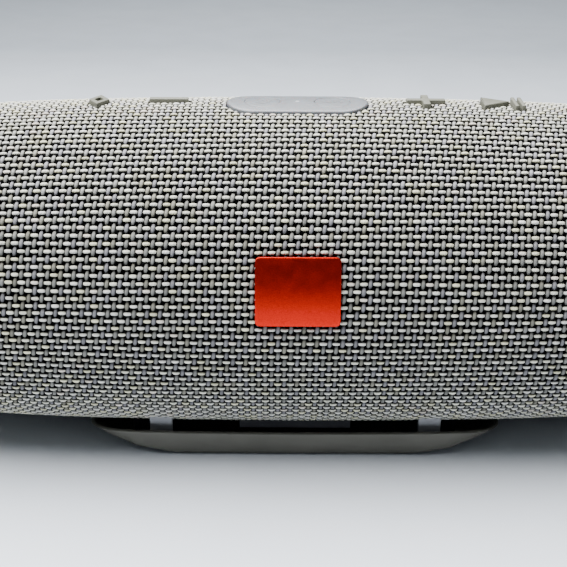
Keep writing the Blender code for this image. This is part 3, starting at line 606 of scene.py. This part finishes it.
PLAY_BARS, PLAY_BAR_HALF = (2.8, 4.5), 0.5
PAIR_HALF = (2.7, 4.3)
PAIR_CORNER, HOLLOW_CORNER = 0.5, 0.3
PAIR_HOLLOW = 0.45  # its share of the rhombus
HOLLOW_EDGE, HOLLOW_DEPTH = 0.15, 0.8
SYMBOL_EDGE, SYMBOL_CORNER = 0.22, 0.35
SYMBOL_SUNK = 0.4  # into the key's base
POWER_RADIUS, POWER_GAP, POWER_STROKE = 1.7, 70, (0.6, 1.3, 2.2)
LINK_RADIUS, LINK_HALF_LENGTH, LINK_SHIFT = 0.8, 0.9, 0.85


def plus_outline(reach, across, half):
    quarter = np.array([(half, -across), (half, -half), (reach, -half)])
    right = np.concatenate([quarter, quarter[::-1] * (1, -1)])
    return np.concatenate([right, -right])


SYMBOLS = {
    "pair": [np.array([(PAIR_HALF[0], 0), (0, PAIR_HALF[1]), (-PAIR_HALF[0], 0), (0, -PAIR_HALF[1])])],
    "minus": [rectangle(SYMBOL_REACH, BAR_HALF)],
    "plus": [plus_outline(SYMBOL_REACH, PLUS_ACROSS, BAR_HALF)],
    "play": [
        np.array([(PLAY_BACK, -PLAY_HALF), (PLAY_TIP, 0), (PLAY_BACK, PLAY_HALF)]),
        *(rectangle(PLAY_BAR_HALF, PLAY_HALF, (x, 0)) for x in PLAY_BARS),
    ],
}


def symbol_place(key):
    return np.array((KEY_X[key], SYMBOL_LINE))


# --- weave


def distance_outside(points, outline):
    """Signed distance of (x, y) points from a closed outline, below 0 inside it."""
    nearest = np.full(points.shape[0], np.inf)
    inside = np.zeros(points.shape[0], bool)
    for a, b in zip(outline, np.roll(outline, -1, axis=0)):
        side = b - a
        share = np.clip(((points - a) @ side) / (side @ side), 0, 1)
        nearest = np.minimum(nearest, np.linalg.norm(points - a - share[:, None] * side, axis=1))
        crosses = (a[1] > points[:, 1]) != (b[1] > points[:, 1])
        rise = b[1] - a[1] if b[1] != a[1] else 1.0
        inside ^= crosses & (points[:, 0] < a[0] + side[0] * (points[:, 1] - a[1]) / rise)
    return np.where(inside, -nearest, nearest)


def openings():
    """(side of the barrel, outline) of everything that comes through the cloth. The side is the direction
    from the axis in (y, z), and the outline's second coordinate runs across it."""
    crown, back, under = (0, 1), (1, 0), (0, -1)
    panel = round_cornered(*(size + TRIM_GAP for size in (*PANEL_HALF, PANEL_CORNER)))
    _, half = centre_and_half("port_tray")
    tray = round_cornered(half.x + TRIM_GAP, half.z + TRIM_GAP, TRAY_CORNER + TRIM_GAP)
    _, half = centre_and_half("base_plinth")
    plinth = rectangle(half.x + PLINTH_GAP, PLINTH_OPENING_HALF_WIDTH)
    made = [(crown, panel), (back, tray), (under, plinth)]
    for key, outlines in SYMBOLS.items():
        for outline in outlines:
            made.append((crown, moved_outline(outline, SYMBOL_GAP) + symbol_place(key)))
    for number in CORNERS:
        middle, half = centre_and_half(f"foot_clip_{number}")
        made.append((under, rectangle(half.x + CLIP_GAP, half.y + CLIP_GAP, middle.xy)))
    return made


def clearance(x, y, z):
    """How far each point of the cloth is from the nearest opening."""
    nearest = np.full(x.shape, FAR)
    for (side_y, side_z), outline in OPENINGS:
        across = y if side_z else z
        near = (y * side_y + z * side_z > 0) & (np.abs(across) < OPENING_REACH)
        points = np.stack([x[near], across[near]], axis=1)
        nearest[near] = np.minimum(nearest[near], distance_outside(points, outline))
    return nearest


def thread_family(x, angle, shape, scale, lengthwise):
    """Ring points of a family of threads, and which of them exist. Every argument has one value for each
    thread and ring. The angle runs round the barrel from its crown towards its front."""
    zero, one = np.zeros_like(x), np.ones_like(x)
    out = np.stack([zero, -np.sin(angle), np.cos(angle)], axis=-1)
    across = np.stack([zero, np.cos(angle), np.sin(angle)] if lengthwise else [one, zero, zero], axis=-1)
    reach = barrel_radius(x) - THREAD_DEPTH + THREAD_RISE * shape["rise"]
    middle = reach[..., None] * out
    middle[..., 0] = x
    room = clearance(*np.moveaxis(middle, -1, 0))
    tuck = np.clip(1 - room / TUCK_REACH, 0, 1) ** 2
    middle -= out * (TUCK_DEPTH * tuck)[..., None]
    turns = np.arange(THREAD_SIDES) * 2 * math.pi / THREAD_SIDES
    wide, high = shape["half_width"] * scale, shape["half_height"] * scale
    ring = (
        middle[..., None, :]
        + (np.cos(turns) * wide[..., None])[..., None] * across[..., None, :]
        + (np.sin(turns) * high[..., None])[..., None] * out[..., None, :]
    )
    return ring, (room > 0) & (np.abs(x) <= CLOTH_HALF_LENGTH)


def tube_faces(valid, closed):
    """Quads and end caps, as indices into (thread, ring, side), and each quad's thread, ring and side."""
    threads, rings = valid.shape
    ahead = np.roll(np.arange(rings), -1)
    spans = valid & valid[:, ahead]
    if not closed:
        spans[:, -1] = False
    first = np.arange(threads * rings).reshape(threads, rings) * THREAD_SIDES
    side = np.arange(THREAD_SIDES)
    after = (side + 1) % THREAD_SIDES
    thread, ring = np.nonzero(spans)
    here, there = first[thread, ring][:, None], first[thread, ahead[ring]][:, None]
    quads = np.stack([here + side, here + after, there + after, there + side], axis=-1).reshape(-1, 4)
    arrives = np.roll(spans, 1, axis=1)
    starts = first[spans & ~arrives][:, None] + side[::-1]
    ends = first[arrives & ~spans][:, None] + side
    origin = np.repeat(thread, THREAD_SIDES), np.repeat(ring, THREAD_SIDES), np.tile(side, len(thread))
    return quads, np.concatenate([starts, ends]), origin


def spread_over_rings(per_float, rings):
    """Repeats each float's value for its own rings, with the last float again for any ring left over."""
    repeated = np.repeat(per_float, len(RING_PLACES), axis=1)
    return np.concatenate([repeated, repeated[:, -1:]], axis=1)[:, :rings]


def float_values(rng, threads, floats, rings, casts):
    """Each ring's size and colour, which differ a little from float to float."""
    scale = spread_over_rings(rng.normal(1, SIZE_SPREAD, (threads, floats)), rings)
    cast = np.array(casts)[rng.choice(len(casts), (threads, floats), p=CAST_SHARES)]
    colour = spread_over_rings(cast * rng.normal(1, COLOUR_SPREAD, (threads, floats, 1)), rings)
    return scale, colour


def shape_along(profile, rings):
    return {key: np.resize(mirrored(half), rings)[None, :] for key, half in profile.items()}


def wander(x, row):
    """How far a lengthwise thread strays from its row, in rows."""
    return sum(size * np.sin(x / length + row * shift) for size, length, shift in WANDER)


def lengthwise_threads(first_hoop, rng):
    """Every lengthwise thread's stretch over one band of hoops."""
    floats = HOOPS_PER_BAND // 2
    rings = floats * len(RING_PLACES) + 1
    threads = np.arange(LENGTHWISE_THREADS)[:, None]
    places = (2 * np.arange(floats + 1)[:, None] + RING_PLACES).ravel()[:rings]
    x = (first_hoop + threads % 2 + places) * HOOP_PITCH
    angle = (threads + wander(x, threads)) * 2 * math.pi / LENGTHWISE_THREADS
    scale, colour = float_values(rng, LENGTHWISE_THREADS, floats, rings, CREAM_CASTS)
    return x, angle, shape_along(LENGTHWISE_FLOAT, rings), scale, colour


def hoop_threads(first_hoop, rng):
    """One band's hoops, each once round the barrel."""
    floats = LENGTHWISE_THREADS // 2
    rings = floats * len(RING_PLACES)
    hoops = first_hoop + np.arange(HOOPS_PER_BAND)[:, None]
    hoops = hoops[np.abs(hoops[:, 0]) * HOOP_PITCH <= CLOTH_HALF_LENGTH]
    row = (2 * np.arange(floats)[:, None] + RING_PLACES).ravel() + (hoops + 1) % 2
    swing = np.sin(row * 4 * math.pi / LENGTHWISE_THREADS + hoops / LEAN_LENGTH)
    lean = LEAN_SIZE + LEAN_SWING * swing
    x = hoops * HOOP_PITCH - lean * np.resize(mirrored(LEAN_SHAPE, -1), rings)
    angle = (row + wander(x, row)) * 2 * math.pi / LENGTHWISE_THREADS
    scale, colour = float_values(rng, len(hoops), floats, rings, GREY_CASTS)
    # Painted light: hoops are paler along the crown, where the light from above falls.
    crown_light = 1 + CROWN_PAINTED_LIGHT * np.clip(np.cos(angle), 0, 1) ** 2
    return x, angle, shape_along(HOOP_FLOAT, rings), scale, colour * crown_light[..., None]


def sheet_uv(origin, threads, rings, columns, low, high):
    """Places a family's quads in strips between two heights of the unit square, thread by thread."""
    thread, ring, side = (values[:, None] for values in origin)
    height = (high - low) / math.ceil(threads / columns)
    u = (thread % columns + (ring + np.array([0, 0, 1, 1])) / rings) / columns
    around = (side + np.array([0, 1, 1, 0])) / THREAD_SIDES
    v = low + (thread // columns + STRIP_MARGIN + (1 - 2 * STRIP_MARGIN) * around) * height
    return np.stack([u, v], axis=-1).reshape(-1, 2)


def ply_uv(origin, spacing):
    """Distance along the thread and turn round it."""
    _, ring, side = (values[:, None] for values in origin)
    along = (ring + np.array([0, 0, 1, 1])) * spacing
    return np.stack([along, (side + np.array([0, 1, 1, 0])) / THREAD_SIDES], axis=-1).reshape(-1, 2)


def band_threads(number):
    """One band's points, quads, end caps, colours and two UV layers: hoops and lengthwise stretches."""
    rng = np.random.default_rng(100 + number)
    first_hoop = number * HOOPS_PER_BAND
    row_pitch = 2 * math.pi * BARREL_RADIUS / LENGTHWISE_THREADS
    families = (
        (lengthwise_threads(first_hoop, rng), True, LENGTHWISE_STRIPS, HOOP_PITCH),
        (hoop_threads(first_hoop, rng), False, HOOP_STRIPS, row_pitch),
    )
    made, count = [], 0
    for (x, angle, shape, scale, colour), lengthwise, strips, pitch in families:
        ring, valid = thread_family(x, angle, shape, scale, lengthwise)
        sides, ends, origin = tube_faces(valid, not lengthwise)
        # Painted shade: each thread's colour darkens as it dives under a crossing thread.
        lit = np.clip((shape["rise"] - FULLY_SHADED_RISE) / (UNSHADED_RISE - FULLY_SHADED_RISE), DIVE_SHADE_DARKEST, 1)
        # Painted shade round each thread, darkest on its underside.
        shaded = (colour * lit[..., None])[..., None, :] * np.array(UNDERSIDE_PAINTED_SHADE)[:, None]
        baked = sheet_uv(origin, *valid.shape, *strips)
        ply = ply_uv(origin, 2 * pitch / len(RING_PLACES))
        made.append((ring.reshape(-1, 3), sides + count, ends + count, shaded.reshape(-1, 3), baked, ply))
        count += ring.size // 3
    return [np.concatenate(both) for both in zip(*made)]


def weave_band(number):
    """One band of cloth: its hoops, and its stretch of every lengthwise thread."""
    points, quads, caps, colour, baked, ply = band_threads(number)
    used, index = np.unique(np.concatenate([quads.ravel(), caps.ravel()]), return_inverse=True)
    quads, caps = index[: quads.size].reshape(-1, 4), index[quads.size :].reshape(-1, THREAD_SIDES)
    points = (points[used] + np.array((0, 0, AXIS_HEIGHT))) * MM

    name = f"woven_cloth_{number - BANDS[0] + 1}"
    mesh = bpy.data.meshes.new(name)
    mesh.from_pydata(points.tolist(), [], quads.tolist() + caps.tolist(), shade_flat=False)
    mesh.polygons.foreach_set("use_smooth", np.arange(len(mesh.polygons)) < len(quads))
    colour = np.pad(colour[used].clip(0, 1), ((0, 0), (0, 1)), constant_values=1)
    mesh.attributes.new("thread", "FLOAT_COLOR", "POINT").data.foreach_set("color", colour.ravel())
    for layer_name, values in (("OFBake", baked), ("ply", ply)):
        corners = np.concatenate([values, np.zeros((caps.size, 2))])
        mesh.uv_layers.new(name=layer_name).data.foreach_set("uv", corners.ravel())
    mesh.update()
    piece = add_piece(name, mesh, YARN, ROOT, "woven_fabric", "fabric_cover")


OPENINGS = openings()


# --- badge and controls


def make_badge():
    _, half = centre_and_half("badge")
    outline = divided(rounded(rectangle(half.x, BADGE_HALF_HEIGHT), BADGE_CORNER, 6), 0.8)
    bm = draped_plate(outline, cylinder_surface(BADGE_TOP), BADGE_UNDERSIDE, edge=BADGE_EDGE, rings=14)
    add_shape("badge_plate", bm, FACE, 40, BADGE_RED, ROOT, "red_badge", "badge")


def make_panel():
    """The pale panel, with a round hole in each half; the lamp in its middle is made by make_lamp."""
    outline = round_cornered(*PANEL_HALF, PANEL_CORNER, spacing=0.8, steps=16)
    bm = draped_plate(outline, cylinder_surface(PANEL_TOP), PANEL_UNDERSIDE, edge=PANEL_EDGE, rings=18)
    panel = add_shape("panel_plate", bm, CROWN, 45, PANEL_RUBBER, ROOT, "panel_rubber", "control_panel")
    holes = bmesh.new()
    for key in ICONS:
        hole = circle(ROUND_KEY_RADIUS + ROUND_KEY_GAP, (KEY_X[key], 0))
        raised_shape(holes, hole, *ROUND_HOLE_SPAN, CUTTER_EDGE)
    carve(panel, "round_cutter", holes, CROWN)


def make_round_key(key, strokes):
    """A key flush with the panel, with its symbol inlaid and a flange under the panel."""
    place = CROWN @ Matrix.Translation((KEY_X[key], 0, 0))
    surface = cylinder_surface(PANEL_TOP - ROUND_KEY_SUNK)
    outline = circle(ROUND_KEY_RADIUS)
    bm = draped_plate(outline, surface, ROUND_KEY_UNDERSIDE, edge=ROUND_KEY_EDGE, rings=8)
    raised_shape(bm, circle(ROUND_FLANGE_RADIUS), *ROUND_FLANGE_SPAN, KEY_BASE_EDGE)
    body = f"{key}_key"
    add_shape(f"{key}_key_top", bm, place, 45, PANEL_RUBBER, body, "panel_rubber", f"{key}_button")
    ink = bmesh.new()
    for stroke in strokes:
        ribbon(ink, stroke)
    add_shape(f"{key}_icon", ink, place, 45, ICON_INK, body, "panel_rubber")


def make_lamp():
    surface = cylinder_surface(PANEL_TOP + LAMP_PROUD)
    bm = draped_plate(circle(LAMP_RADIUS, steps=24), surface, LAMP_UNDERSIDE, edge=LAMP_EDGE, rings=3)
    add_shape("status_lamp", bm, CROWN, 32, LAMP, ROOT, "panel_rubber")


def ribbon(bm, path):
    """A thin line of ink, inlaid in the panel's top along an open path."""
    along = np.gradient(path, axis=0)
    along /= np.linalg.norm(along, axis=1, keepdims=True)
    side = np.stack([-along[:, 1], along[:, 0]], axis=1) * INK_HALF_WIDTH
    surface = cylinder_surface(PANEL_TOP)
    loops = []
    for point, offset in zip(path, side):
        loop = []
        for sign, lift in ((-1, -INK_SUNK), (1, -INK_SUNK), (1, INK_PROUD), (-1, INK_PROUD)):
            x, y = point + sign * offset
            loop.append((x, y, surface(x, y) + lift))
        loops.append(loop)
    loft(bm, loops)


def power_icon():
    circle_part = arc(POWER_RADIUS, 90 + POWER_GAP / 2, 450 - POWER_GAP / 2)
    return [circle_part, np.array([(0, y) for y in POWER_STROKE])]


def link_icon():
    """Two open links of a chain, hooked into each other."""
    left = arc(LINK_RADIUS, 90, 270, (-LINK_HALF_LENGTH, 0), 12)
    right = arc(LINK_RADIUS, -90, 60, (LINK_HALF_LENGTH, 0), 10)
    link = np.concatenate([left, right]) - (LINK_SHIFT, 0)
    return [link, -link]


ICONS = {"power": power_icon(), "link": link_icon()}


def hollow_shape(bm, outline, inner, base, top):
    """A raised shape with a hollow in its top."""
    outside, inside = rim(outline, top, SYMBOL_EDGE, 3), rim(inner, top, HOLLOW_EDGE, 3, hollow=True)
    loft(bm, [raised(outline, base), *outside, *inside, raised(inner, top - HOLLOW_DEPTH)])


def make_symbol_key(key, outlines):
    """A key's base under the cloth, and its symbol that stands through the cloth."""
    middle, half = centre_and_half(f"{key}_button")
    underside, top = (end.z - AXIS_HEIGHT for end in node_box(f"{key}_button"))
    bm = bmesh.new()
    base = rectangle(half.x, half.y, middle.xy)
    raised_shape(bm, rounded(base, KEY_BASE_CORNER), underside, KEY_BASE_TOP, KEY_BASE_EDGE)
    place, foot = symbol_place(key), KEY_BASE_TOP - SYMBOL_SUNK
    for outline in outlines:
        if key == "pair":
            inner = rounded(outline * PAIR_HOLLOW, HOLLOW_CORNER) + place
            hollow_shape(bm, rounded(outline, PAIR_CORNER) + place, inner, foot, top)
        else:
            raised_shape(bm, rounded(outline, SYMBOL_CORNER) + place, foot, top, SYMBOL_EDGE)
    add_shape(f"{key}_symbol", bm, CROWN, 50, KEY_RUBBER, f"{key}_key", "grey_rubber", f"{key}_button")


# --- ends

DRIVER_X = 48.0
RING_ROUNDING, ROLL_ROUNDING = 0.9, 0.7
# Profiles as (radius, station along the axis)
RING_PROFILE = [
    (34.2, 106.5), (35.8, 106.2), (37.8, 104.4), (39.1, 101.8), (39.5, 98.9), (35.9, 98.9),
    (35.9, 96.1), (31.2, 96.1), (31.2, 104.8), (32.2, 106.4),
]
RADIATOR_ROLL = [
    (31.0, 97.0), (31.0, 96.3), (28.6, 96.3), (28.1, 97.8), (27.2, 98.6), (26.3, 97.8),
    (25.8, 96.3), (22.8, 96.3), (22.8, 97.1), (25.0, 97.1), (25.5, 98.6), (27.2, 99.5),
    (28.9, 98.6), (29.4, 97.0),
]
RADIATOR_ROLL_ENDS = (30.2, 24.6)  # where the roll starts to move and where it moves fully
DISC_PROFILE = [
    (0, 97.95), (6.0, 97.93), (13.4, 97.85), (13.7, 97.55), (14.3, 97.55), (14.6, 97.83), (19.6, 97.6),
    (20.8, 97.4), (21.6, 96.9), (22.0, 96.05), (24.8, 96.0), (24.8, 94.0), (0, 94.0),
]
DRIVER_ROLL = [
    (23.4, 31.4), (23.4, 30.9), (21.2, 30.9), (20.7, 32.0), (19.7, 32.5), (18.8, 32.0),
    (18.4, 30.7), (17.2, 30.7), (17.2, 31.2), (17.9, 31.2), (18.3, 32.4), (19.7, 33.2),
    (21.1, 32.4), (21.5, 31.4),
]
DRIVER_ROLL_ENDS = (22.0, 18.0)


def radial_weights(piece, fixed_radius, moving_radius, place):
    """Replaces a blend's straight ramp by one that runs along the radius from the piece's own axis."""
    mesh = piece.data
    points = np.array([vert.co for vert in mesh.vertices]) / MM
    local = np.array(place.inverted())
    radius = np.linalg.norm(points @ local[:2, :3].T + local[:2, 3], axis=1)
    share = np.clip((fixed_radius - radius) / (fixed_radius - moving_radius), 0, 1)
    weights = share**2 * (3 - 2 * share)
    mesh.attributes["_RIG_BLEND"].data.foreach_set("value", weights.astype(np.float32))


def make_surround(name, node, profile, place, body, fixed_radius, moving_radius):
    """A half-roll of rubber between a still ring and a moving disc."""
    bm = lathe(rounded(profile, ROLL_ROUNDING, 4))
    piece = add_shape(name, bm, place, 60, SURROUND_RUBBER, None, "grey_rubber", node)
    axis, centre = place.to_3x3().col[2] * MM, place.translation * MM
    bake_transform(piece, ROOT, body, start=centre, end=centre + axis)
    radial_weights(piece, fixed_radius, moving_radius, place)


def make_end(side):
    place, body = END[side], f"{side}_radiator"
    bm = lathe(rounded(RING_PROFILE, RING_ROUNDING, 4), 160)
    add_shape(f"rubber_ring_{side}", bm, place, 50, RING_RUBBER, ROOT, "grey_rubber", f"end_ring_{side}")
    roll, node = f"half_roll_{side}", f"radiator_surround_{side}"
    make_surround(roll, node, RADIATOR_ROLL, place, body, *RADIATOR_ROLL_ENDS)
    bm = lathe(DISC_PROFILE, closed=False)
    add_shape(f"bass_disc_{side}", bm, place, 40, DISC_METAL, body, "aluminium", f"radiator_disc_{side}")


def make_driver_surround(side, x):
    place = FACE @ Matrix.Translation((x, 0, 0))
    roll, node = f"driver_half_roll_{side}", f"driver_surround_{side}"
    make_surround(roll, node, DRIVER_ROLL, place, f"{side}_driver_cone", *DRIVER_ROLL_ENDS)


# --- port bay and door

TRAY_UNDERSIDE, TRAY_EDGE, DOOR_SEAT_EDGE = 30.3, 0.4, 0.25
DOOR_SEAT, DOOR_SEAT_CORNER, DOOR_SEAT_HEIGHT = (31.3, 10.3), 3.0, 40.6
BAY, BAY_CORNER, BAY_FLOOR = (28.5, 8.0), 2.5, 32.3
# Openings in the bay's floor: half width, half height and centre
SOCKET_OPENINGS = ((6.9, 3.2, (14.0, 0)), (4.1, 1.8, (-21.0, -1.5)))
JACK_RADIUS, JACK_X = 3.4, -6.0
SOCKET_CORNER, SOCKET_SPAN = 0.4, (25, 35)
DOOR_HALF_HEIGHT, DOOR_CORNER, DOOR_UNDERSIDE, DOOR_SUNK = 10.0, 2.7, 40.9, 0.1
LIP, LIP_CORNER, LIP_SPAN = (27.8, 7.5), 2.0, (41.0, 38.9)
LIP_INSIDE, LIP_INSIDE_CORNER, LIP_INSIDE_TOP = (26.4, 6.1), 1.2, 40.85
PULL_Y, PULL_HALF, PULL_CORNER, PULL_SPAN = 7.5, (8.0, 1.1), 0.8, (42.0, 44.6)
RIB_HALF, RIB_CORNER, RIB_SPAN, RIB_PITCH = (0.35, 1.25), 0.3, (42.2, 44.3), 2.4
DOOR_EDGE, PULL_EDGE, RIB_EDGE = 0.5, 0.35, 0.12


def match_counts(loops):
    """Gives every loop as many points as the longest, spread evenly along it."""
    count = max(len(loop) for loop in loops)
    made = []
    for loop in loops:
        points = np.array([*loop, loop[0]], float)
        along = np.concatenate([[0], np.cumsum(np.linalg.norm(np.diff(points, axis=0), axis=1))])
        spots = np.linspace(0, along[-1], count, endpoint=False)
        made.append(np.stack([np.interp(spots, along, points[:, k]) for k in range(3)], axis=1))
    return made


def make_port_tray():
    """A frame flush with the cloth, a seat for the door and the bay behind it, open to the sockets."""
    _, half = centre_and_half("port_tray")
    outer = round_cornered(half.x, half.z, TRAY_CORNER)
    seat = round_cornered(*DOOR_SEAT, DOOR_SEAT_CORNER)
    bay = round_cornered(*BAY, BAY_CORNER)
    surface = cylinder_surface(BARREL_RADIUS)
    loops = [raised(outer, TRAY_UNDERSIDE), *rim(outer, surface, TRAY_EDGE, 3)]
    loops += rim(seat, surface, DOOR_SEAT_EDGE, 3, hollow=True)
    for outline, height in ((seat, DOOR_SEAT_HEIGHT), (bay, DOOR_SEAT_HEIGHT), (bay, BAY_FLOOR)):
        loops.append(raised(outline, height))
    bm = bmesh.new()
    loft(bm, match_counts(loops))
    tray = add_shape("port_frame", bm, PORT, 50, RING_RUBBER, ROOT, "grey_rubber", "port_tray")
    holes = bmesh.new()
    for half_x, half_y, centre in SOCKET_OPENINGS:
        outline = rounded(rectangle(half_x, half_y, centre), SOCKET_CORNER)
        raised_shape(holes, outline, *SOCKET_SPAN, CUTTER_EDGE)
    raised_shape(holes, circle(JACK_RADIUS, (JACK_X, 0)), *SOCKET_SPAN, CUTTER_EDGE)
    carve(tray, "socket_cutter", holes, PORT)


def make_port_door():
    """A plate flush with the cloth, a hollow lip that fits the bay, and a ribbed pull along the top."""
    _, half = centre_and_half("port_door")
    outline = divided(round_cornered(half.x, DOOR_HALF_HEIGHT, DOOR_CORNER), 1.0)
    surface = cylinder_surface(BARREL_RADIUS - DOOR_SUNK)
    bm = draped_plate(outline, surface, DOOR_UNDERSIDE, edge=DOOR_EDGE, rings=12)
    lip = round_cornered(*LIP, LIP_CORNER)
    inside = round_cornered(*LIP_INSIDE, LIP_INSIDE_CORNER)
    levels = ((lip, LIP_SPAN[0]), (lip, LIP_SPAN[1]), (inside, LIP_SPAN[1]), (inside, LIP_INSIDE_TOP))
    loft(bm, match_counts([raised(outline, height) for outline, height in levels]))
    raised_shape(bm, rounded(rectangle(*PULL_HALF, (0, PULL_Y)), PULL_CORNER, 6), *PULL_SPAN, PULL_EDGE)
    for place in range(-2, 3):
        rib = rectangle(*RIB_HALF, (place * RIB_PITCH, PULL_Y))
        raised_shape(bm, rounded(rib, RIB_CORNER), *RIB_SPAN, RIB_EDGE)
    add_shape("port_flap", bm, PORT, 50, RING_RUBBER, "door", "grey_rubber", "port_door")


# --- foot

# Half length, half width and corner radius
FOOT_RIM = (55.8, 29.2, 16.0)
FOOT_SOLE = (38.4, 26.0, 12.0)
FOOT_FLOOR = (46.0, 26.2, 8.0)
FOOT_FLOOR_HEIGHT = 1.5
FOOT_RIM_WALL = 1.3
RIM_CLEARANCE = 0.35  # between the barrel and the rim, at the barrel's underside
FOOT_FRONT_GAP = 3.5  # more than that at the rim's front and back
SOLE_STEPS = ((0.88, 0.35), (0.89, 0.0), (0.985, 0.0))  # share of the sole's size, and height
# How far out from the sole to the rim the wall is, and how far up
WALL_FLARE = (
    (0.02, 0.012), (0.08, 0.018), (0.2, 0.045), (0.35, 0.11), (0.5, 0.21), (0.65, 0.36), (0.78, 0.54),
    (0.89, 0.74), (0.96, 0.9), (1.0, 0.965),
)
# How far in from the rim's outside to its inside the lip is, and how far up
LIP_ROLL = ((0.15, 0.995), (0.5, 1.0), (0.85, 0.99), (1.0, 0.95))
CLIP_EDGE, WINDOW_EDGE = 0.3, 0.25


def foot_loop(half_x, half_y, radius, corner_steps=14, side_steps=24):
    """A rounded rectangle with the same number of points in every corner and along every side."""
    corners = [*quarter_arcs(half_x, half_y, radius, corner_steps)]
    points = []
    for corner, following in zip(corners, corners[1:] + corners[:1]):
        points += [corner, np.linspace(corner[-1], following[0], side_steps + 1)[1:-1]]
    return np.concatenate(points)


def rim_height(x, y):
    follow = barrel_radius(x) + RIM_CLEARANCE + FOOT_FRONT_GAP * (y / FOOT_RIM[1]) ** 2
    return AXIS_HEIGHT - np.sqrt(follow**2 - y**2)


def make_foot():
    """Boat-shaped tray: a rolled lip, walls that flare out of a rounded sole edge, and a grooved sole."""
    outer, sole, floor = (foot_loop(*size) for size in (FOOT_RIM, FOOT_SOLE, FOOT_FLOOR))
    inner = foot_loop(*(size - FOOT_RIM_WALL for size in FOOT_RIM))
    top = rim_height(outer[:, 0], outer[:, 1])
    loops = [raised(sole * share, height) for share, height in SOLE_STEPS]
    loops += [raised(sole + (outer - sole) * out, top * up) for out, up in WALL_FLARE]
    loops += [raised(outer + (inner - outer) * share, top * up) for share, up in LIP_ROLL]
    loops.append(raised(floor, FOOT_FLOOR_HEIGHT))
    bm = bmesh.new()
    loft(bm, loops)
    add_shape("foot_shell", bm, GROUND, 50, FOOT_RUBBER, ROOT, "foot_rubber", "foot")


# --- stage, in metres

SWEEP_HALF_WIDTH, SWEEP_FRONT, SWEEP_BEND, SWEEP_RADIUS, SWEEP_HEIGHT = 3.5, -2.5, 1.2, 0.8, 3.5
# Painted shade on the table: from the near colours to the far one by TABLE_FAR_Y, as the light falls off
# towards the back.
TABLE_NEAR = ((0.69, 0.735, 0.8), (0.72, 0.765, 0.83))
TABLE_FAR, TABLE_FAR_Y = (0.235, 0.26, 0.29), 0.45
SKY, SKY_STRENGTH = (0.85, 0.92, 1.0, 1), 0.17
LIGHT_SIZE, LIGHT_WATTS = (1.0, 0.55), 28
LIGHT_PLACE, LIGHT_AIM = Vector((-0.14, 0.1, 0.6)), Vector((0, 0, 0.03))
CAMERA_PLACE, CAMERA_LENS = (-0.004, -0.2912, 0.1685), 74.07
CAMERA_TILT, CAMERA_ROLL = math.radians(65.82), math.radians(-0.31)


def make_light():
    data = bpy.data.lights.new("overhead", "AREA")
    data.shape = "RECTANGLE"
    data.size, data.size_y = LIGHT_SIZE
    data.energy = LIGHT_WATTS
    light = add_object("overhead", data)
    light.location = LIGHT_PLACE
    light.rotation_euler = (LIGHT_AIM - LIGHT_PLACE).to_track_quat("-Z", "Y").to_euler()


def table_look():
    """A pale table with painted shade that darkens it towards the back."""
    look = Look("pale table", Specular_IOR_Level=0.3)
    place = look.node("TexCoord").outputs["Object"]
    split = look.node("SeparateXYZ", {"Vector": place})
    distance = look.spread(split.outputs["Y"], 0, 1, 0.0, TABLE_FAR_Y)
    cloudy = look.spread(look.noise(60.0), 0, 1)
    look.colour(look.blend(distance, look.blend(cloudy, *TABLE_NEAR), TABLE_FAR))
    look.rough(look.noise(25.0), 0.5, 0.65)
    return look.material


def make_sweep():
    """A floor that curves up into a backdrop far behind."""
    bm = bmesh.new()
    bend = arc(SWEEP_RADIUS, -80, 0, (SWEEP_BEND, SWEEP_RADIUS), 11)
    profile = [(SWEEP_FRONT, 0), (SWEEP_BEND, 0), *bend, (SWEEP_BEND + SWEEP_RADIUS, SWEEP_HEIGHT)]
    sides = (-SWEEP_HALF_WIDTH, SWEEP_HALF_WIDTH)
    left, right = ([bm.verts.new((x, y, z)) for y, z in profile] for x in sides)
    for i in range(len(profile) - 1):
        bm.faces.new((left[i], right[i], right[i + 1], left[i + 1])).smooth = True
    mesh = bpy.data.meshes.new("sweep")
    bm.to_mesh(mesh)
    bm.free()
    mesh.materials.append(table_look())
    sweep = add_object("sweep", mesh)


def make_world():
    world = bpy.data.worlds.new("studio")
    world.use_nodes = True
    background = world.node_tree.nodes["Background"]
    background.inputs["Color"].default_value = SKY
    background.inputs["Strength"].default_value = SKY_STRENGTH
    bpy.context.scene.world = world


def make_camera():
    data = bpy.data.cameras.new("camera")
    data.sensor_width = 36
    data.lens = CAMERA_LENS
    data.clip_start = 0.01
    camera = add_object("camera", data)
    camera.location = CAMERA_PLACE
    camera.rotation_euler = (CAMERA_TILT, CAMERA_ROLL, 0)
    bpy.context.scene.camera = camera


# --- build

make_camera()
make_sweep()
make_world()
make_light()
dress_cad_nodes()
for band in BANDS:
    weave_band(band)
make_badge()
make_panel()
for key, strokes in ICONS.items():
    make_round_key(key, strokes)
make_lamp()
for key, outlines in SYMBOLS.items():
    make_symbol_key(key, outlines)
for side, sign in SIDES.items():
    make_end(side)
    make_driver_surround(side, sign * DRIVER_X)
make_port_tray()
make_port_door()
make_foot()
for number in CORNERS:
    soft_box(f"clip_tab_{number}", f"foot_clip_{number}", CLIP_PLASTIC, "clip_plastic", CLIP_EDGE)
soft_box("gauge_window", "battery_window", SMOKED, "smoked_window", WINDOW_EDGE)
